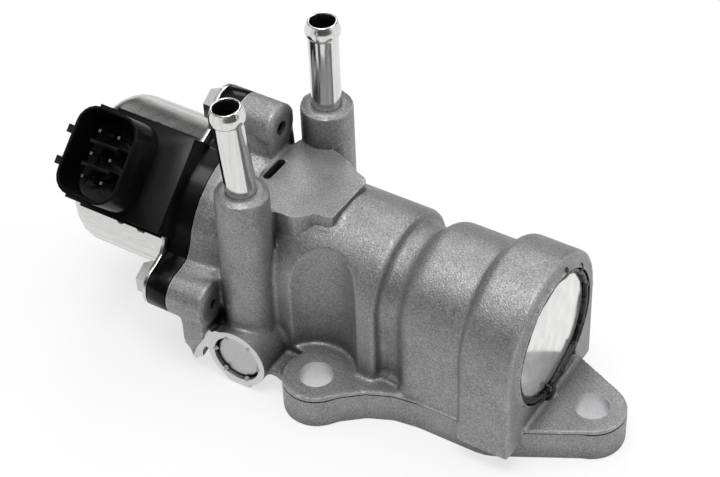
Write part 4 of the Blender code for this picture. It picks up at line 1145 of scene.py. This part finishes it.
def soft_edges(piece, width):
    """Rounds the sharp edges of a carved solid a little."""
    shape = bmesh.new()
    shape.from_mesh(piece.data)
    bmesh.ops.remove_doubles(shape, verts=shape.verts, dist=0.00001)
    bmesh.ops.dissolve_limit(
        shape, angle_limit=math.radians(1.0), verts=shape.verts, edges=shape.edges
    )
    shape.to_mesh(piece.data)
    shape.free()
    bevel = piece.modifiers.new("soft_edges", "BEVEL")
    bevel.width = width
    bevel.segments = 2
    bevel.limit_method = "ANGLE"
    bevel.angle_limit = math.radians(30)
    bevel.miter_outer = "MITER_ARC"
    bake_modifiers(piece)


def finish_copy(node, name, material, width):
    """A copy of a solid with rounded edges and a real finish."""
    piece = solid_copy(node, name)
    soft_edges(piece, width)
    one_finish(piece, material, 38)
    stand_for(piece, node)


def compound_rows(shape, side):
    """Rows of points round the strand along one side of the window, in the connector's frame."""
    turns = [math.tau * k / COMPOUND_SIDES for k in range(COMPOUND_SIDES)]
    rows = []
    for i in range(COMPOUND_STEPS + 1):
        x = WINDOW_FROM_X + (WINDOW_TO_X - WINDOW_FROM_X) * i / COMPOUND_STEPS
        lumps = max(0.0, noise.noise(Vector((x * 300, side * 3.0, 1.0))))
        size = 0.00035 + min(0.00060, 0.0016 * lumps)
        y = side * (WINDOW_HALF + 0.4 * size)
        n = math.sqrt(CAN_R**2 - y * y) + 0.0001
        ring = [(x, y + size * math.cos(t), n + 0.8 * size * math.sin(t)) for t in turns]
        rows.append([shape.verts.new(point) for point in ring])
    return rows


compound = bmesh.new()
for side in (-1, 1):
    loft(compound, compound_rows(compound, side))
bmesh.ops.recalc_face_normals(compound, faces=compound.faces)
compound.transform(CONNECTOR)
squeezed_compound = make_piece("squeezed_compound", compound, black_sealant, sharp=80)
stand_for(squeezed_compound, None)
finish_copy("motor_can", "steel_can", drawn_steel, 0.00018)
finish_copy("motor_housing", "black_housing", black_moulding, 0.00032)
print("can and housing made")

# %% [markdown]
# ## Screws
#
# The three flange screws are the same piece at three places, so one Geometry Nodes tree builds one
# screw from its sizes and puts a copy on each lug. The tree ends by making the copies real.

# %% Geometry Nodes helpers
def new_tree(name, sizes):
    """A tree with one geometry output and a named input for each size."""
    tree = bpy.data.node_groups.new(name, "GeometryNodeTree")
    tree.interface.new_socket("Geometry", in_out="OUTPUT", socket_type="NodeSocketGeometry")
    identifiers = {}
    for label, value in sizes.items():
        socket = tree.interface.new_socket(label, in_out="INPUT", socket_type="NodeSocketFloat")
        socket.default_value = value
        identifiers[label] = socket.identifier
    return tree, add_node(tree, "NodeGroupInput"), identifiers


def tree_cylinder(tree, radius, depth, sides, lift):
    """A cylinder along +Z, lifted by this share of its own depth."""
    sizes = {"Vertices": sides, "Radius": radius, "Depth": depth}
    cylinder = add_node(tree, "GeometryNodeMeshCylinder", sizes)["Mesh"]
    middle = add_node(tree, "ShaderNodeCombineXYZ", {"Z": maths(tree, "MULTIPLY", depth, lift)})[0]
    return add_node(tree, "GeometryNodeTransform", {"Geometry": cylinder, "Translation": middle})[0]


def tree_cone(tree, sides, bottom, top, depth):
    sizes = {"Vertices": sides, "Radius Bottom": bottom, "Radius Top": top, "Depth": depth}
    return add_node(tree, "GeometryNodeMeshCone", sizes)["Mesh"]


def joined(tree, pieces):
    join = tree.nodes.new("GeometryNodeJoinGeometry")
    for piece in pieces:
        feed(tree, join, {"Geometry": piece})
    return join.outputs[0]


def copy_onto(tree, points, piece, material, turn=(0.0, 0.0, 0.0)):
    """Ends a tree: a turned copy on every point, made real and given its material."""
    spots = {"Points": points, "Instance": piece, "Rotation": turn}
    copies = add_node(tree, "GeometryNodeInstanceOnPoints", spots)[0]
    real = add_node(tree, "GeometryNodeRealizeInstances", {"Geometry": copies})[0]
    dressed = add_node(tree, "GeometryNodeSetMaterial", {"Geometry": real, "Material": material})[0]
    add_node(tree, "NodeGroupOutput", {"Geometry": dressed})


def run_tree(tree, identifiers, sizes, material, sharp=35):
    """Runs a tree on an empty mesh and keeps the result as a plain mesh."""
    host = add_object(tree.name, bpy.data.meshes.new(tree.name))
    modifier = host.modifiers.new("build", "NODES")
    modifier.node_group = tree
    for label, value in sizes.items():
        modifier[identifiers[label]] = value
    bake_modifiers(host)
    one_finish(host, material, sharp)
    return host


print("tree helpers ready")

# %% Screw tree
SCREW_SIZES = {
    "Head Radius": 0.0045, "Head Height": 0.0038, "Washer Radius": 0.0048,
    "Washer Height": 0.0010, "Shank Radius": 0.0024, "Shank Length": 0.0158, "Seat": -0.0799,
}
TOWARDS_MOTOR = (0.0, -math.pi / 2, 0.0)


def screw_tree():
    """Head and washer stand on the lug, and the shank goes down into it."""
    tree, size, identifiers = new_tree("flange_screws", SCREW_SIZES)
    screw = joined(tree, [
        tree_cylinder(tree, size["Head Radius"], size["Head Height"], 6, 0.5),
        tree_cylinder(tree, size["Washer Radius"], size["Washer Height"], 40, 0.5),
        tree_cylinder(tree, size["Shank Radius"], size["Shank Length"], 32, -0.5),
    ])
    points = []
    for y, z in LUG_PLACES:
        spot = add_node(tree, "ShaderNodeCombineXYZ", {"X": size["Seat"], "Y": y, "Z": z})[0]
        points.append(add_node(tree, "GeometryNodePoints", {"Position": spot})[0])
    copy_onto(tree, joined(tree, points), screw, zinc_plating, TOWARDS_MOTOR)
    return tree, identifiers


screws = run_tree(*screw_tree(), SCREW_SIZES, zinc_plating)
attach(screws, "body")
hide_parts("motor_screw_top", "motor_screw_front", "motor_screw_rear")
print("screws:", len(screws.data.polygons), "faces")

# %% [markdown]
# ## Staking marks
#
# The small cup is held by metal that a punch drove over its rim. The six marks stand on one circle,
# so a mesh circle in a Geometry Nodes tree carries them, and the circle is turned to the front.

# %% Staking marks
STAKE_SIZES = {"Circle": 0.00675, "Mark Radius": 0.00085, "Mark Height": 0.0007}
STAKES = 6
STAKE_RISE = 0.00045


def stake_tree():
    tree, size, identifiers = new_tree("staking_marks", STAKE_SIZES)
    sizes = {"Vertices": STAKES, "Radius": size["Circle"]}
    circle = add_node(tree, "GeometryNodeMeshCircle", sizes)["Mesh"]
    top = maths(tree, "MULTIPLY", size["Mark Radius"], 0.45)
    mark = tree_cone(tree, 16, size["Mark Radius"], top, size["Mark Height"])
    copy_onto(tree, circle, mark, cast_aluminium)
    return tree, identifiers


stakes = run_tree(*stake_tree(), STAKE_SIZES, cast_aluminium, 60)
facing_front = Matrix.Rotation(math.pi / 2, 4, "X") @ Matrix.Rotation(math.radians(-6), 4, "Z")
stakes.data.transform(Matrix.Translation((PLUG_X, PLUG_Y + STAKE_RISE, PLUG_Z)) @ facing_front)
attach(stakes, "body")
print("staking marks:", len(stakes.data.polygons), "faces")

# %% [markdown]
# ## Connector pins
#
# Six blade pins stand in two rows of three. A grid of points inside the shroud carries one blade
# each, again by Geometry Nodes, and the blade's tip is narrowed so that the plug finds its way.

# %% Pins
PIN_SIZES = {"Blade": 0.0009, "Length": 0.0085, "Row Gap": 0.0060, "Column Gap": 0.0062}
PIN_ROWS, PIN_COLUMNS = 2, 3
PIN_X = -0.0965
PIN_FOOT_N = 0.0265
FLAT_SIDES_OUT = (0.0, 0.0, math.pi / 4)


def pin_tree():
    tree, size, identifiers = new_tree("blade_pins", PIN_SIZES)
    width = maths(tree, "MULTIPLY", size["Column Gap"], PIN_COLUMNS - 1.0)
    sizes = {"Vertices X": PIN_ROWS, "Vertices Y": PIN_COLUMNS}
    sizes.update({"Size X": size["Row Gap"], "Size Y": width})
    grid = add_node(tree, "GeometryNodeMeshGrid", sizes)["Mesh"]
    foot, tip = (maths(tree, "MULTIPLY", size["Blade"], share) for share in (0.70, 0.58))
    blade = tree_cone(tree, 4, foot, tip, size["Length"])
    copy_onto(tree, grid, blade, tinned_brass, FLAT_SIDES_OUT)
    return tree, identifiers


pins = run_tree(*pin_tree(), PIN_SIZES, tinned_brass)
pins.data.transform(CONNECTOR @ Matrix.Translation((PIN_X, 0.0, PIN_FOOT_N)))
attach(pins, "body")
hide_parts(*(f"terminal_pin_{n}" for n in range(1, 7)))
print("pins:", len(pins.data.polygons), "faces")

# %% [markdown]
# ## The pieces inside
#
# Seat, valve, coils and rotor keep their solids, whose shapes are right, and get a finish each.
# They show only through the ports, or when the valve is taken apart. The return spring runs from
# the casting's shoulder to the retainer on the valve's stem, and is a copy of its solid with a finish.

# %% Return spring
spring = solid_copy("return_spring", "wound_spring")
one_finish(spring, ground_steel, 50)
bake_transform(spring)
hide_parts("return_spring")

# %% Finishes of the inner pieces
INNER = {
    ground_steel: (
        "valve_seat", "poppet_valve", "stem_shield", "spring_retainer", "lead_screw",
        "bearing_outer_race", "bearing_inner_race", "screw_sleeve_top", "screw_sleeve_front",
        "screw_sleeve_rear",
    ),
    bronze: ("stem_bush", "rear_bush"),
    seal_rubber: ("motor_o_ring",),
    black_moulding: ("coil_bobbin_rear", "coil_bobbin_front", "rotor_hub"),
    copper_wire: ("coil_winding_rear", "coil_winding_front"),
    sintered_magnet: ("rotor_magnet",),
}
for material, names in INNER.items():
    for name in names:
        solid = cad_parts[name]
        solid.data.materials.clear()
        solid.data.materials.append(material)
print("inner pieces:", sum(len(names) for names in INNER.values()))
